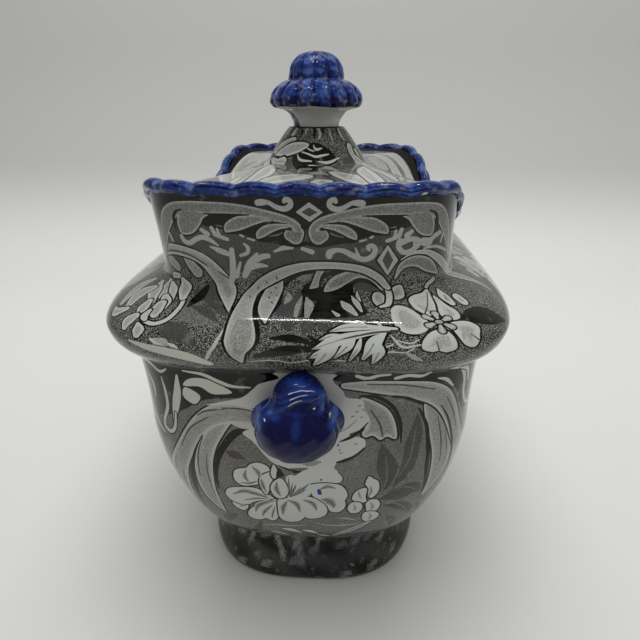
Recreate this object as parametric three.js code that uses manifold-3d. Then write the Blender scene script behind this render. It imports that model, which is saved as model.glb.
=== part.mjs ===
// Covered sugar bowl in glazed earthenware: a press-moulded oblong bowl on a foot ring, two lug
// handles, and a domed cover with a bud finial that lifts out of the raised rim.
// Millimetres, +Z up. The origin is the middle of the foot's underside and the long side is along Y.
import * as THREE from "three";
import { mergeVertices } from "three/addons/utils/BufferGeometryUtils.js";
import Module from "manifold-3d";

const wasm = await Module();
wasm.setup();

// Driving dimensions of the bowl. Every level is a rounded oblong: half width, half length and
// squareness, the power of its outline. 2 is an ellipse and higher powers have squarer corners.
const footHeight = 17;
const footPlan = { halfWidth: 37.1, halfLength: 52.4, squareness: 2.9 };
const waistPlan = { halfWidth: 34.8, halfLength: 50.2, squareness: 3.1 };
const bellyHeight = 60;
const bellyPlan = { halfWidth: 49.4, halfLength: 68.4, squareness: 3.9 };
const bellyRound = 1.5;
const creaseHeight = 84.3;
const creasePlan = { halfWidth: 50.1, halfLength: 70, squareness: 4.3 };
const shoulderHeight = 92.5;
const shoulderPlan = { halfWidth: 55.8, halfLength: 76.6, squareness: 4.3 };
const shoulderRound = 1.7;
const noseRound = 1.3;
const hollowShare = 0.55;
const neckHeight = 103;
const neckPlan = { halfWidth: 39.9, halfLength: 62.2, squareness: 5 };
const rimHeight = 127;
const rimPlan = { halfWidth: 42.3, halfLength: 64.6, squareness: 4.8 };
const rimDip = 12.4;
const dipStart = 0.38;
const dipEnd = 0.92;
const flareRound = 1.7;
const flareFoot = 0.28;
const flareMiddle = 0.54;

// The scalloped edge of the rim
const lobeCount = 38;
const stepsPerLobe = 3;
const lobeRise = 0.9;
const lobeReach = 0.6;
const beadRadius = 2;

// Walls, the ledge that carries the cover, and the foot
const wall = 4;
const floorThickness = 4.5;
const ledgeDrop = 3.8;
const ledgeHeight = rimHeight - rimDip - ledgeDrop;
const throatFlare = 1;
const ledgeWidth = 5.2;
const ledgeThickness = 3.2;
const footWall = 6;
const footEdge = 1.6;
const footHollow = 0.6;
const footHollowReach = 0.85;
const shoulderWall = 1.5 * wall;

// Driving dimensions of the cover. Its heights are rises over the ledge that carries it.
const coverPlay = 0.8;
const seatGap = 0.3;
const coverEdge = 1.8;
const coverWall = 3.4;
const crownRise = 15.8;
const crownHeight = ledgeHeight + crownRise;
const crownEndDrop = 0.9;
const crownSideDrop = 8;
const crownSquareness = 5;
const crownRiseStart = 0.1;
const crownRiseEnd = 0.9;
const crownInset = 5.2;
const collarRise = 10.4;
const collarHeight = crownHeight + collarRise;
const collarRadius = 8.8;
const collarFoot = 16;
const collarSwell = 1.6;
const flangeDepth = 9;
const flangeWall = 2.8;

// Driving dimensions of the finial. Each part of it rises from the one below.
const stemRadius = 7.3;
const stemRise = 6.2;
const petalFoot = collarHeight + stemRise;
const petalUnderRise = 3.1;
const petalHeight = petalFoot + petalUnderRise;
const petalOverRise = 4.6;
const petalTop = petalHeight + petalOverRise;
const petalRadius = 14.6;
const petalCount = 16;
const petalDepth = 0.9;
const petalUnderReach = 2.2;
const petalUnderAngle = 0.75;
const petalOverAngle = 0.95;
const budRadius = 8.8;
const budRise = 8.6;
const budHeight = petalTop + budRise;
const budRibs = 12;
const ribDepth = 0.7;
const budRound = 2.2;
const finialSteps = 48;

// Driving dimensions of a lug handle: a ball under a hooded leaf, with an ear on each side
const ballHeight = 75;
const ballReach = 18.6;
const ballRadius = 9.5;
const ballRise = 9.2;
const earHeight = 74;
const earSpan = 23.2;
const earRise = 7.5;
const earDepth = 4.6;
const earStandOff = 4.2;
const hoodHeight = 80.6;
const hoodRadius = 6.4;
const hoodRise = 6.6;
const hoodDepth = 6.6;
const hoodStandOff = 6.6;
const lugSteps = 18;

// Colours of the glazes, as sRGB
const printedGlaze = 0x4a423f;
const mottledGlaze = 0x3a3534;
const coverGlaze = 0x6b6663;
const cobaltGlaze = 0x1d2f78;
const whiteGlaze = 0xc9c9c2;
const glazeRoughness = 0.18;

const halfTurn = Math.PI;
const quarterTurn = Math.PI / 2;
const fullTurn = Math.PI * 2;
const bodySteps = lobeCount * stepsPerLobe;

const mix = THREE.MathUtils.lerp;
const steps = (count) => Array.from({ length: count }, (unused, i) => i);

function mixPlans(from, to, share) {
  return {
    halfWidth: mix(from.halfWidth, to.halfWidth, share),
    halfLength: mix(from.halfLength, to.halfLength, share),
    squareness: mix(from.squareness, to.squareness, share),
  };
}

function grown(plan, by) {
  return { ...plan, halfWidth: plan.halfWidth + by, halfLength: plan.halfLength + by };
}

// A point of a plan outline, in the direction of a bearing measured on its bounding square
function outlinePoint(plan, bearing) {
  const across = Math.cos(bearing);
  const along = Math.sin(bearing);
  const size = (Math.abs(across) ** plan.squareness + Math.abs(along) ** plan.squareness) ** (-1 / plan.squareness);
  return new THREE.Vector2(plan.halfWidth * across * size, plan.halfLength * along * size);
}

// Bearings that divide an outline into steps of equal length, so that the lobes of the rim match
function evenBearings(plan, count) {
  const fine = 3600;
  const bearings = steps(fine + 1).map((i) => (i / fine) * fullTurn);
  const lengths = [0];
  for (let i = 1; i <= fine; i += 1) {
    const step = outlinePoint(plan, bearings[i]).distanceTo(outlinePoint(plan, bearings[i - 1]));
    lengths.push(lengths[i - 1] + step);
  }
  let at = 0;
  return steps(count).map((i) => {
    const wanted = (lengths[fine] * i) / count;
    while (lengths[at + 1] < wanted) at += 1;
    return mix(bearings[at], bearings[at + 1], (wanted - lengths[at]) / (lengths[at + 1] - lengths[at]));
  });
}

const bodyBearings = evenBearings(rimPlan, bodySteps);

// A closed loop of points. The height is a number, or a function of the bearing and the step.
function loop(plan, height, bearings = bodyBearings) {
  return bearings.map((bearing, i) => {
    const point = outlinePoint(plan, bearing);
    return new THREE.Vector3(point.x, point.y, typeof height === "number" ? height : height(bearing, i));
  });
}

// A surface through loops of equal length, closed by a fan at both ends, or by its first loop
function loft(loops, endless = false) {
  const count = loops[0].length;
  const points = loops.flat();
  const faces = [];
  const bands = endless ? loops.length : loops.length - 1;
  for (let row = 0; row < bands; row += 1) {
    const low = row * count;
    const high = ((row + 1) % loops.length) * count;
    for (let i = 0; i < count; i += 1) {
      const next = (i + 1) % count;
      faces.push(low + i, low + next, high + next, low + i, high + next, high + i);
    }
  }
  if (!endless) {
    const last = (loops.length - 1) * count;
    const middle = (ring) => ring.reduce((sum, p) => sum.add(p), new THREE.Vector3()).divideScalar(count);
    const bottom = points.push(middle(loops[0])) - 1;
    const top = points.push(middle(loops[loops.length - 1])) - 1;
    for (let i = 0; i < count; i += 1) {
      const next = (i + 1) % count;
      faces.push(bottom, next, i, top, last + i, last + next);
    }
  }
  const geometry = new THREE.BufferGeometry().setFromPoints(points);
  geometry.setIndex(faces);
  return geometry;
}

function toSolid(geometry) {
  const bare = geometry.clone();
  bare.deleteAttribute("normal");
  bare.deleteAttribute("uv");
  const welded = mergeVertices(bare, 1e-4);
  const vertProperties = new Float32Array(welded.attributes.position.array);
  const triVerts = new Uint32Array(welded.index.array);
  return new wasm.Manifold(new wasm.Mesh({ numProp: 3, vertProperties, triVerts }));
}

function toGeometry(solid) {
  const cut = solid.getMesh();
  const geometry = new THREE.BufferGeometry();
  geometry.setAttribute("position", new THREE.BufferAttribute(cut.vertProperties, 3));
  geometry.setIndex(new THREE.BufferAttribute(cut.triVerts, 1));
  return geometry;
}

function piece(name, geometry, colour) {
  geometry.computeVertexNormals();
  const glaze = new THREE.MeshStandardMaterial({ color: colour, roughness: glazeRoughness, metalness: 0 });
  const mesh = new THREE.Mesh(geometry, glaze);
  mesh.name = name;
  return mesh;
}

// The rounded quarter of a superellipse, from lying flat to standing upright
function roundedQuarter(share, power) {
  const angle = share * quarterTurn;
  return { out: Math.sin(angle) ** (2 / power), up: 1 - Math.cos(angle) ** (2 / power) };
}

// The height that the rim has at a bearing: full at the two ends and lower along the sides
function rimHeightAt(bearing) {
  const along = Math.abs(outlinePoint(rimPlan, bearing).y) / rimPlan.halfLength;
  return rimHeight - rimDip * (1 - THREE.MathUtils.smoothstep(along, dipStart, dipEnd));
}

// How far the edge stands up at a step round the rim: 0 in a notch and 1 on a lobe's crest
function lobeAt(step) {
  return Math.sin((halfTurn * (step % stepsPerLobe)) / stepsPerLobe);
}

// The outer wall's plan at a height above the neck, where the wall flares out to the rim
function upperPlan(share) {
  return mixPlans(neckPlan, rimPlan, share ** flareRound);
}

// The outer wall from the waist to the neck, as plans with heights. It can stand off by a gap.
function lowerWall(gap = 0) {
  const rows = [];
  const bellyRows = 5;
  for (let i = 0; i <= bellyRows; i += 1) {
    const { out, up } = roundedQuarter(i / bellyRows, bellyRound);
    rows.push({ plan: mixPlans(waistPlan, bellyPlan, out), height: mix(footHeight, bellyHeight, up) });
  }
  const hollow = mixPlans(bellyPlan, creasePlan, hollowShare ** 2);
  rows.push({ plan: hollow, height: mix(bellyHeight, creaseHeight, hollowShare) });
  rows.push({ plan: creasePlan, height: creaseHeight });
  const noseRows = 3;
  for (let i = 1; i <= noseRows; i += 1) {
    const share = i / noseRows;
    const plan = mixPlans(creasePlan, shoulderPlan, Math.sin(share * quarterTurn));
    rows.push({ plan, height: mix(creaseHeight, shoulderHeight, share ** noseRound) });
  }
  const shoulderRows = 4;
  for (let i = 1; i <= shoulderRows; i += 1) {
    const share = i / shoulderRows;
    const plan = mixPlans(shoulderPlan, neckPlan, share ** shoulderRound);
    rows.push({ plan, height: mix(shoulderHeight, neckHeight, share) });
  }
  return rows.map((row) => ({ plan: grown(row.plan, gap), height: row.height }));
}

// A loop on the raised part of the wall, at a share of the way from the neck up to the rim
function galleryLoop(share) {
  const height = (bearing) => mix(neckHeight, rimHeightAt(bearing), share);
  return loop(upperPlan(share), height);
}

// A loop round the scalloped bead that finishes the rim, at an angle on its round section
function beadLoop(angle) {
  const out = beadRadius * Math.cos(angle) - wall / 2;
  const down = beadRadius * (1 - Math.sin(angle));
  return bodyBearings.map((bearing, i) => {
    const lobe = lobeAt(i);
    const point = outlinePoint(grown(rimPlan, out + lobe * lobeReach), bearing);
    const height = rimHeightAt(bearing) - lobeRise * (1 - lobe) - down;
    return new THREE.Vector3(point.x, point.y, height);
  });
}

// The inside of the neck round the cover, and the mouth inside the ledge that carries it
const throatPlan = grown(neckPlan, throatFlare - wall);
const mouthPlan = grown(throatPlan, -ledgeWidth);
const floorHeight = footHeight + floorThickness;

function bowlBody() {
  const outside = lowerWall().map((row) => loop(row.plan, row.height));
  const rim = [galleryLoop(flareFoot), galleryLoop(flareMiddle)];
  const beadRows = 5;
  for (let i = 0; i <= beadRows; i += 1) {
    rim.push(beadLoop(mix(-quarterTurn / 2, halfTurn, i / beadRows)));
  }
  const inside = [
    loop(throatPlan, ledgeHeight),
    loop(mouthPlan, ledgeHeight),
    loop(mouthPlan, ledgeHeight - ledgeThickness),
    loop(grown(neckPlan, -wall), neckHeight),
    loop(grown(shoulderPlan, -shoulderWall), shoulderHeight),
    loop(grown(creasePlan, -wall), creaseHeight - wall),
    loop(grown(bellyPlan, -wall), bellyHeight),
  ];
  const floorRows = 3;
  for (let i = floorRows - 1; i >= 0; i -= 1) {
    const { out, up } = roundedQuarter(i / floorRows, bellyRound);
    const plan = grown(mixPlans(waistPlan, bellyPlan, out), -wall);
    inside.push(loop(plan, mix(floorHeight, bellyHeight, up)));
  }
  return piece("bowl_body", loft([...outside, ...rim, ...inside]), printedGlaze);
}

const footSteps = 64;
const footBearings = evenBearings(footPlan, footSteps);

function footRing() {
  const middlePlan = mixPlans(footPlan, waistPlan, footHollowReach);
  const levels = [
    { plan: grown(footPlan, -footWall), height: 0 },
    { plan: grown(footPlan, -footEdge), height: 0 },
    { plan: footPlan, height: footEdge },
    { plan: footPlan, height: footHeight / 4 },
    { plan: middlePlan, height: footHeight * footHollow },
    { plan: waistPlan, height: footHeight },
    { plan: grown(waistPlan, -footWall), height: footHeight },
  ];
  const loops = levels.map((level) => loop(level.plan, level.height, footBearings));
  return piece("foot_ring", loft(loops, true), mottledGlaze);
}

// One ellipsoid of a lug, centred outside the end wall
function lugBall(across, deep, high, standOff, height) {
  const ball = new THREE.SphereGeometry(1, lugSteps, lugSteps / 2 + 2);
  ball.scale(across, deep, high);
  ball.translate(0, -bellyPlan.halfLength - standOff, height);
  return toSolid(ball);
}

function lugHandle(name, turn) {
  const ballDepth = ballReach / 2;
  const ball = lugBall(ballRadius, ballDepth, ballRise, ballReach - ballDepth, ballHeight);
  const ears = lugBall(earSpan / 2, earDepth, earRise, earStandOff, earHeight);
  const hood = lugBall(hoodRadius, hoodDepth, hoodRise, hoodStandOff, hoodHeight);
  const bowl = loft(lowerWall(seatGap).map((row) => loop(row.plan, row.height)));
  const lug = ball.add(ears).add(hood).subtract(toSolid(bowl));
  const mesh = piece(name, toGeometry(lug), cobaltGlaze);
  mesh.rotation.z = turn;
  return mesh;
}

// Cover profile from its collar to its edge. A row has a plan, and heights at the ends and sides.
const coverSteps = 64;
const hipRows = 3;
const coverBearings = evenBearings(rimPlan, coverSteps);
const seatHeight = ledgeHeight + seatGap;
const edgePlan = grown(throatPlan, -coverPlay);
const round = (radius) => ({ halfWidth: radius, halfLength: radius, squareness: 2 });

function coverRows() {
  const rows = [];
  const collarRows = 3;
  for (let i = 0; i <= collarRows; i += 1) {
    const share = i / collarRows;
    const height = mix(collarHeight, crownHeight, share ** collarSwell);
    rows.push({ plan: round(mix(collarRadius, collarFoot, share)), end: height, side: height });
  }
  const crownPlan = { ...grown(edgePlan, -crownInset), squareness: crownSquareness };
  const crownRows = 3;
  for (let i = 1; i <= crownRows; i += 1) {
    const share = i / crownRows;
    const plan = mixPlans(round(collarFoot), crownPlan, share);
    rows.push({ plan, end: crownHeight - crownEndDrop * share, side: crownHeight - crownSideDrop * share });
  }
  const last = rows[rows.length - 1];
  const edgeTop = seatHeight + coverEdge;
  for (let i = 1; i <= hipRows; i += 1) {
    const { out, up } = roundedQuarter(i / hipRows, 2);
    const plan = mixPlans(crownPlan, edgePlan, out);
    rows.push({ plan, end: mix(last.end, edgeTop, up), side: mix(last.side, edgeTop, up) });
  }
  return rows;
}

function coverLoop(row, inward = 0, lower = 0) {
  const heightAt = (bearing) => {
    const along = Math.abs(outlinePoint(edgePlan, bearing).y) / edgePlan.halfLength;
    const rise = THREE.MathUtils.smoothstep(along, crownRiseStart, crownRiseEnd);
    return mix(row.side, row.end, rise) - lower;
  };
  return loop(grown(row.plan, -inward), heightAt, coverBearings);
}

function coverShell() {
  const rows = coverRows();
  const innerRim = grown(mouthPlan, -coverPlay - flangeWall);
  const outside = rows.map((row) => coverLoop(row)).reverse();
  const hollow = rows.slice(2, -hipRows).map((row) => coverLoop(row, coverWall, coverWall));
  const seat = [loop(innerRim, seatHeight, coverBearings), loop(edgePlan, seatHeight, coverBearings)];
  return piece("cover_shell", loft([...hollow, ...seat, ...outside]), coverGlaze);
}

function coverFlange() {
  const outer = grown(mouthPlan, -coverPlay);
  const inner = grown(outer, -flangeWall);
  const bottom = seatHeight - flangeDepth;
  const chamfer = flangeWall / 4;
  const loops = [
    loop(grown(inner, chamfer), bottom, coverBearings),
    loop(grown(outer, -chamfer), bottom, coverBearings),
    loop(outer, bottom + chamfer, coverBearings),
    loop(outer, seatHeight, coverBearings),
    loop(inner, seatHeight, coverBearings),
    loop(inner, bottom + chamfer, coverBearings),
  ];
  return piece("cover_flange", loft(loops, true), whiteGlaze);
}

// A finial loop with soft lobes. The depth is how far the notches between the lobes cut in.
function lobedLoop(radius, height, lobes, depth) {
  return steps(finialSteps).map((i) => {
    const angle = (i / finialSteps) * fullTurn;
    const notch = depth * (1 - Math.abs(Math.sin((lobes * angle) / 2)));
    return new THREE.Vector3(0, radius - notch, height).applyAxisAngle(new THREE.Vector3(0, 0, 1), angle);
  });
}

function finial() {
  const loops = [];
  const stemRows = 4;
  for (let i = 0; i <= stemRows; i += 1) {
    const { out, up } = roundedQuarter(i / stemRows, 2);
    const radius = mix(stemRadius, petalRadius - petalUnderReach, up);
    loops.push(lobedLoop(radius, mix(collarHeight, petalFoot, out), petalCount, 0));
  }
  const petalRows = 5;
  for (let i = 0; i <= petalRows; i += 1) {
    const angle = quarterTurn * mix(-petalUnderAngle, petalOverAngle, i / petalRows);
    const rise = angle < 0 ? petalHeight - petalFoot : petalTop - petalHeight;
    const reach = angle < 0 ? petalUnderReach : petalRadius - budRadius;
    const radius = petalRadius - reach * (1 - Math.cos(angle));
    const depth = petalDepth * Math.cos(angle);
    loops.push(lobedLoop(radius, petalHeight + rise * Math.sin(angle), petalCount, depth));
  }
  const budRows = 5;
  for (let i = 0; i < budRows; i += 1) {
    const { out, up } = roundedQuarter(1 - i / budRows, budRound);
    const height = mix(budHeight, petalTop, up);
    loops.push(lobedLoop(budRadius * out, height, budRibs, ribDepth * out));
  }
  return piece("finial", loft(loops), cobaltGlaze);
}

const bowl = new THREE.Group();
bowl.add(bowlBody(), footRing(), lugHandle("front_handle", 0), lugHandle("back_handle", halfTurn));

const cover = new THREE.Group();
cover.add(coverShell(), coverFlange(), finial());

const sugarBowl = new THREE.Group();
sugarBowl.add(bowl, cover);

export default sugarBowl;
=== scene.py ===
"""A covered sugar bowl in printed earthenware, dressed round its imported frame.

Sizes are millimetres and turn to metres where a mesh is made. The outer wall is drawn on a flat
chart: x runs round the bowl from the middle of the front, y runs up the wall. The transfer print
is cut into that chart as outlines with tones, so that every line of it stays crisp.
"""

import logging
import math
from collections.abc import Callable
from dataclasses import dataclass, field
from enum import Enum

import bpy
import numpy as np
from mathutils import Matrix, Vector
from mathutils.geometry import delaunay_2d_cdt


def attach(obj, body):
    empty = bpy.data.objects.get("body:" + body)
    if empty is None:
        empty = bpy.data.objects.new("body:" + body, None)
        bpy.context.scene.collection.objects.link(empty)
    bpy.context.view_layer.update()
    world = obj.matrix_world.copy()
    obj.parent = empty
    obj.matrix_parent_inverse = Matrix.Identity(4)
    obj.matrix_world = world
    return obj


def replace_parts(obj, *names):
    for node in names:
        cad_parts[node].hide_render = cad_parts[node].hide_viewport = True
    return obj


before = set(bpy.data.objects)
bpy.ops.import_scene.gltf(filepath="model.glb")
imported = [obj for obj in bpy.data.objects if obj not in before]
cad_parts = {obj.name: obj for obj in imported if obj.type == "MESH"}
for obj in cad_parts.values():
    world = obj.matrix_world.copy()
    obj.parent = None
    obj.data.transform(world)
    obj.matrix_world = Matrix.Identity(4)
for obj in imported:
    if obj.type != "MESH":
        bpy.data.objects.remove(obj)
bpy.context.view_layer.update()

LOG = logging.getLogger("sugar_bowl")
MM = 0.001
Array = np.ndarray
Knot = tuple[float, float, float]
Spot = tuple[float, float]


def mix(start: float | Array, end: float | Array, share: float | Array) -> float | Array:
    """Value at a share of the way from start to end."""
    return start + (end - start) * share


def eased(value: Array, start: float, end: float) -> Array:
    """Smooth step from 0 at start to 1 at end."""
    share = np.clip((value - start) / (end - start), 0.0, 1.0)
    return share * share * (3.0 - 2.0 * share)


def bell(value: Array, middle: float, width: float) -> Array:
    """Share that is 1 at the middle and falls off like a bell over a width."""
    return np.exp(-(((value - middle) / width) ** 2))


def linear(shade: str) -> tuple[float, float, float, float]:
    """Linear RGBA of an sRGB hex colour.

    Args:
        shade: The colour as "#rrggbb".

    Returns:
        Red, green, blue and an alpha of 1.
    """
    parts = [int(shade[i : i + 2], 16) / 255 for i in (1, 3, 5)]
    values = [p / 12.92 if p <= 0.04045 else ((p + 0.055) / 1.055) ** 2.4 for p in parts]
    return (values[0], values[1], values[2], 1.0)


@dataclass(frozen=True)
class Plan:
    """A rounded oblong seen from above: half width, half length and squareness.

    A squareness of 2 is an ellipse and higher powers have squarer corners. The sizes may be
    arrays, for a plan at each of many levels.
    """

    half_width: float | Array
    half_length: float | Array
    squareness: float | Array

    def mixed(self, other: "Plan", share: float | Array) -> "Plan":
        """Plan at a share of the way to another.

        Args:
            other: The plan that it turns into.
            share: The share of the way to it.

        Returns:
            The plan between the two.
        """
        return Plan(
            mix(self.half_width, other.half_width, share),
            mix(self.half_length, other.half_length, share),
            mix(self.squareness, other.squareness, share),
        )

    def grown(self, by: float) -> "Plan":
        """Plan with its sides moved out."""
        return Plan(self.half_width + by, self.half_length + by, self.squareness)

    def point(self, bearing: Array) -> tuple[Array, Array]:
        """Outline point in the direction of a bearing measured on the bounding square.

        Args:
            bearing: The directions.

        Returns:
            The points' x and y in mm.
        """
        across, along = np.cos(bearing), np.sin(bearing)
        power = self.squareness
        size = (np.abs(across) ** power + np.abs(along) ** power) ** (-1.0 / power)
        return self.half_width * across * size, self.half_length * along * size

    def reach(self, x: Array, y: Array) -> Array:
        """How far out a point lies, as a share of the outline's own distance.

        Args:
            x: The points' x in mm.
            y: Their y in mm.

        Returns:
            One share per point: below 1 inside the outline and above it outside.
        """
        power = self.squareness
        share = np.abs(x / self.half_width) ** power + np.abs(y / self.half_length) ** power
        return share ** (1.0 / power)


class Girth:
    """Distance round a plan, from the middle of the front (-Y), to the right and back to it."""

    def __init__(self, plan: Plan, fineness: int = 20000) -> None:
        """Measure the outline.

        Args:
            plan: The outline that is measured.
            fineness: The number of steps round it.
        """
        self.bearings = np.linspace(-math.pi / 2, 1.5 * math.pi, fineness + 1)
        x, y = plan.point(self.bearings)
        steps = np.hypot(np.diff(x), np.diff(y))
        self.lengths = np.concatenate([[0.0], np.cumsum(steps)])
        self.total = float(self.lengths[-1])

    def bearing(self, distance: Array) -> Array:
        """Bearing at a distance in mm, which may be negative to the left of the front.

        Args:
            distance: The distances in mm.

        Returns:
            One bearing per distance.
        """
        turns = np.floor(np.asarray(distance) / self.total)
        rest = np.asarray(distance) - turns * self.total
        return np.interp(rest, self.lengths, self.bearings) + turns * 2 * math.pi

    def even(self, count: int) -> Array:
        """Bearings of evenly spaced points all round."""
        return self.bearing(np.arange(count) / count * self.total)

    def distance(self, bearing: Array) -> Array:
        """Distance in mm at a bearing that bearing() gave.

        Args:
            bearing: The bearings.

        Returns:
            One distance per bearing.
        """
        turns = np.floor((np.asarray(bearing) + math.pi / 2) / (2 * math.pi))
        rest = np.asarray(bearing) - turns * 2 * math.pi
        return np.interp(rest, self.bearings, self.lengths) + turns * self.total


# Plans of the bowl from its foot up
FOOT = Plan(37.1, 52.4, 2.9)
WAIST = Plan(34.8, 50.2, 3.1)
BELLY = Plan(49.4, 68.4, 3.9)
CREASE = Plan(50.1, 70.0, 4.3)
SHOULDER = Plan(55.8, 76.6, 4.3)
NECK = Plan(39.9, 62.2, 5.0)
RIM = Plan(42.3, 64.6, 4.8)

# Heights in mm above the floor, and how far the rim dips along its sides and leans at its front
FOOT_HEIGHT = 17.0
BELLY_HEIGHT = 60.0
CREASE_HEIGHT = 84.3
SHOULDER_HEIGHT = 92.5
NECK_HEIGHT = 103.0
LEDGE_HEIGHT = 110.8
RIM_HEIGHT = 128.1
RIM_DIP = 12.4
RIM_LEAN = 1.2

# Thickness of the clay in mm, and how far the drawn surfaces stay inside the CAD's
WALL = 4.0
SKIN = 0.1

# Where distances round the bowl are measured: the chart's own, and the rim's
ROUND = Girth(BELLY)
RIM_GIRTH = Girth(RIM)


class Tone(Enum):
    """How much of a patch the ink covers: 0 is bare glaze, also laid as painted highlights, 1 a solid
    engraved line and 2 a drip of cobalt.
    """

    BARE = 0.0
    PALE = 0.13
    SOFT = 0.36
    ASH = 0.46
    GREY = 0.54
    STIPPLE = 0.78
    NIGHT = 0.875
    DEEP = 0.92
    INK = 1.0
    COBALT = 2.0


def smooth_line(knots: Array, step: float, closed: bool = False) -> Array:
    """Smooth curve through knots, as evenly spaced rows.

    Args:
        knots: One row per knot. The first two columns are a place, the rest ride along.
        step: The spacing of the rows in mm.
        closed: Whether the curve runs back to its first knot.

    Returns:
        The rows along the curve.
    """
    if closed:
        padded = np.vstack([knots[-1:], knots, knots[:2]])
    else:
        padded = np.vstack([2 * knots[0] - knots[1], knots, 2 * knots[-1] - knots[-2]])
    rows = []
    for a, b, c, d in zip(padded, padded[1:], padded[2:], padded[3:]):
        count = max(2, int(math.ceil(np.hypot(*(c - b)[:2]) / step)))
        t = np.linspace(0, 1, count, endpoint=False)[:, None]
        rows.append(
            0.5 * (2 * b + (c - a) * t + (2 * a - 5 * b + 4 * c - d) * t**2
                   + (3 * b - a - 3 * c + d) * t**3)
        )
    if not closed:
        rows.append(padded[-2:-1])
    return np.vstack(rows)


def signed_area(ring: Array) -> float:
    """Twice the area of a closed outline, negative if it runs clockwise."""
    x, y = ring[:, 0], ring[:, 1]
    return float(np.sum(x * np.roll(y, -1) - np.roll(x, -1) * y))


@dataclass(frozen=True)
class Blade:
    """A leaf, petal or brush stroke: a curved spine with a width at each of its knots."""

    knots: tuple[Knot, ...]
    step: float = 0.7

    def outline(self, trim: float = 0.0) -> Array:
        """Closed outline of the blade.

        Args:
            trim: How far the outline stays inside the blade's own edge.

        Returns:
            The outline's corners, or an empty array if nothing is left.
        """
        rows = smooth_line(np.array(self.knots, float), self.step)
        half = np.maximum(rows[:, 2], 0.0) / 2 - trim
        rows, half = rows[half > 0.02], half[half > 0.02]
        if len(rows) < 2:
            return np.zeros((0, 2))
        spine = rows[:, :2]
        along = np.gradient(spine, axis=0)
        along /= np.linalg.norm(along, axis=1, keepdims=True) + 1e-9
        side = np.stack([-along[:, 1], along[:, 0]], 1)
        left = spine + side * half[:, None]
        right = spine - side * half[:, None]
        return np.vstack([
            left, self.cap(spine[-1], along[-1], side[-1], half[-1]),
            right[::-1], self.cap(spine[0], -along[0], -side[0], half[0]),
        ])

    @staticmethod
    def cap(centre: Array, along: Array, side: Array, radius: float) -> Array:
        """Rounded end of the blade.

        Args:
            centre: The end of the spine.
            along: The way that the spine points there.
            side: The way square to it.
            radius: Half the blade's width there.

        Returns:
            The corners of the end, from the left side to the right.
        """
        if radius < 0.15:
            return centre[None] + along[None] * radius
        angles = np.linspace(math.pi / 2, -math.pi / 2, 7)[1:-1, None]
        return centre + radius * (np.sin(angles) * side + np.cos(angles) * along)


@dataclass(frozen=True)
class Lobe:
    """A petal or patch with a free outline, as a smooth closed curve through its corners."""

    corners: tuple[Spot, ...]
    step: float = 0.7

    def outline(self, trim: float = 0.0) -> Array:
        """Closed outline, moved inwards by trim.

        Args:
            trim: How far the outline stays inside the lobe's own edge.

        Returns:
            The outline's corners.
        """
        ring = smooth_line(np.array(self.corners, float), self.step, closed=True)
        along = np.roll(ring, -1, 0) - np.roll(ring, 1, 0)
        along /= np.linalg.norm(along, axis=1, keepdims=True) + 1e-9
        inward = np.stack([-along[:, 1], along[:, 0]], 1) * math.copysign(1.0, signed_area(ring))
        return ring + inward * trim


@dataclass(frozen=True)
class Diamond:
    """An upright lozenge."""

    at: Spot
    half_width: float
    half_height: float

    def outline(self, trim: float = 0.0) -> Array:
        """Closed outline, with its corners moved in by trim and a half."""
        w, h = self.half_width - 1.5 * trim, self.half_height - 1.5 * trim
        return np.array(self.at) + np.array([(w, 0), (0, h), (-w, 0), (0, -h)])


Shape = Blade | Lobe | Diamond
# Least share of its area that a trimmed lobe keeps before it counts as turned inside out
LEAST_CORE = 0.12


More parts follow.
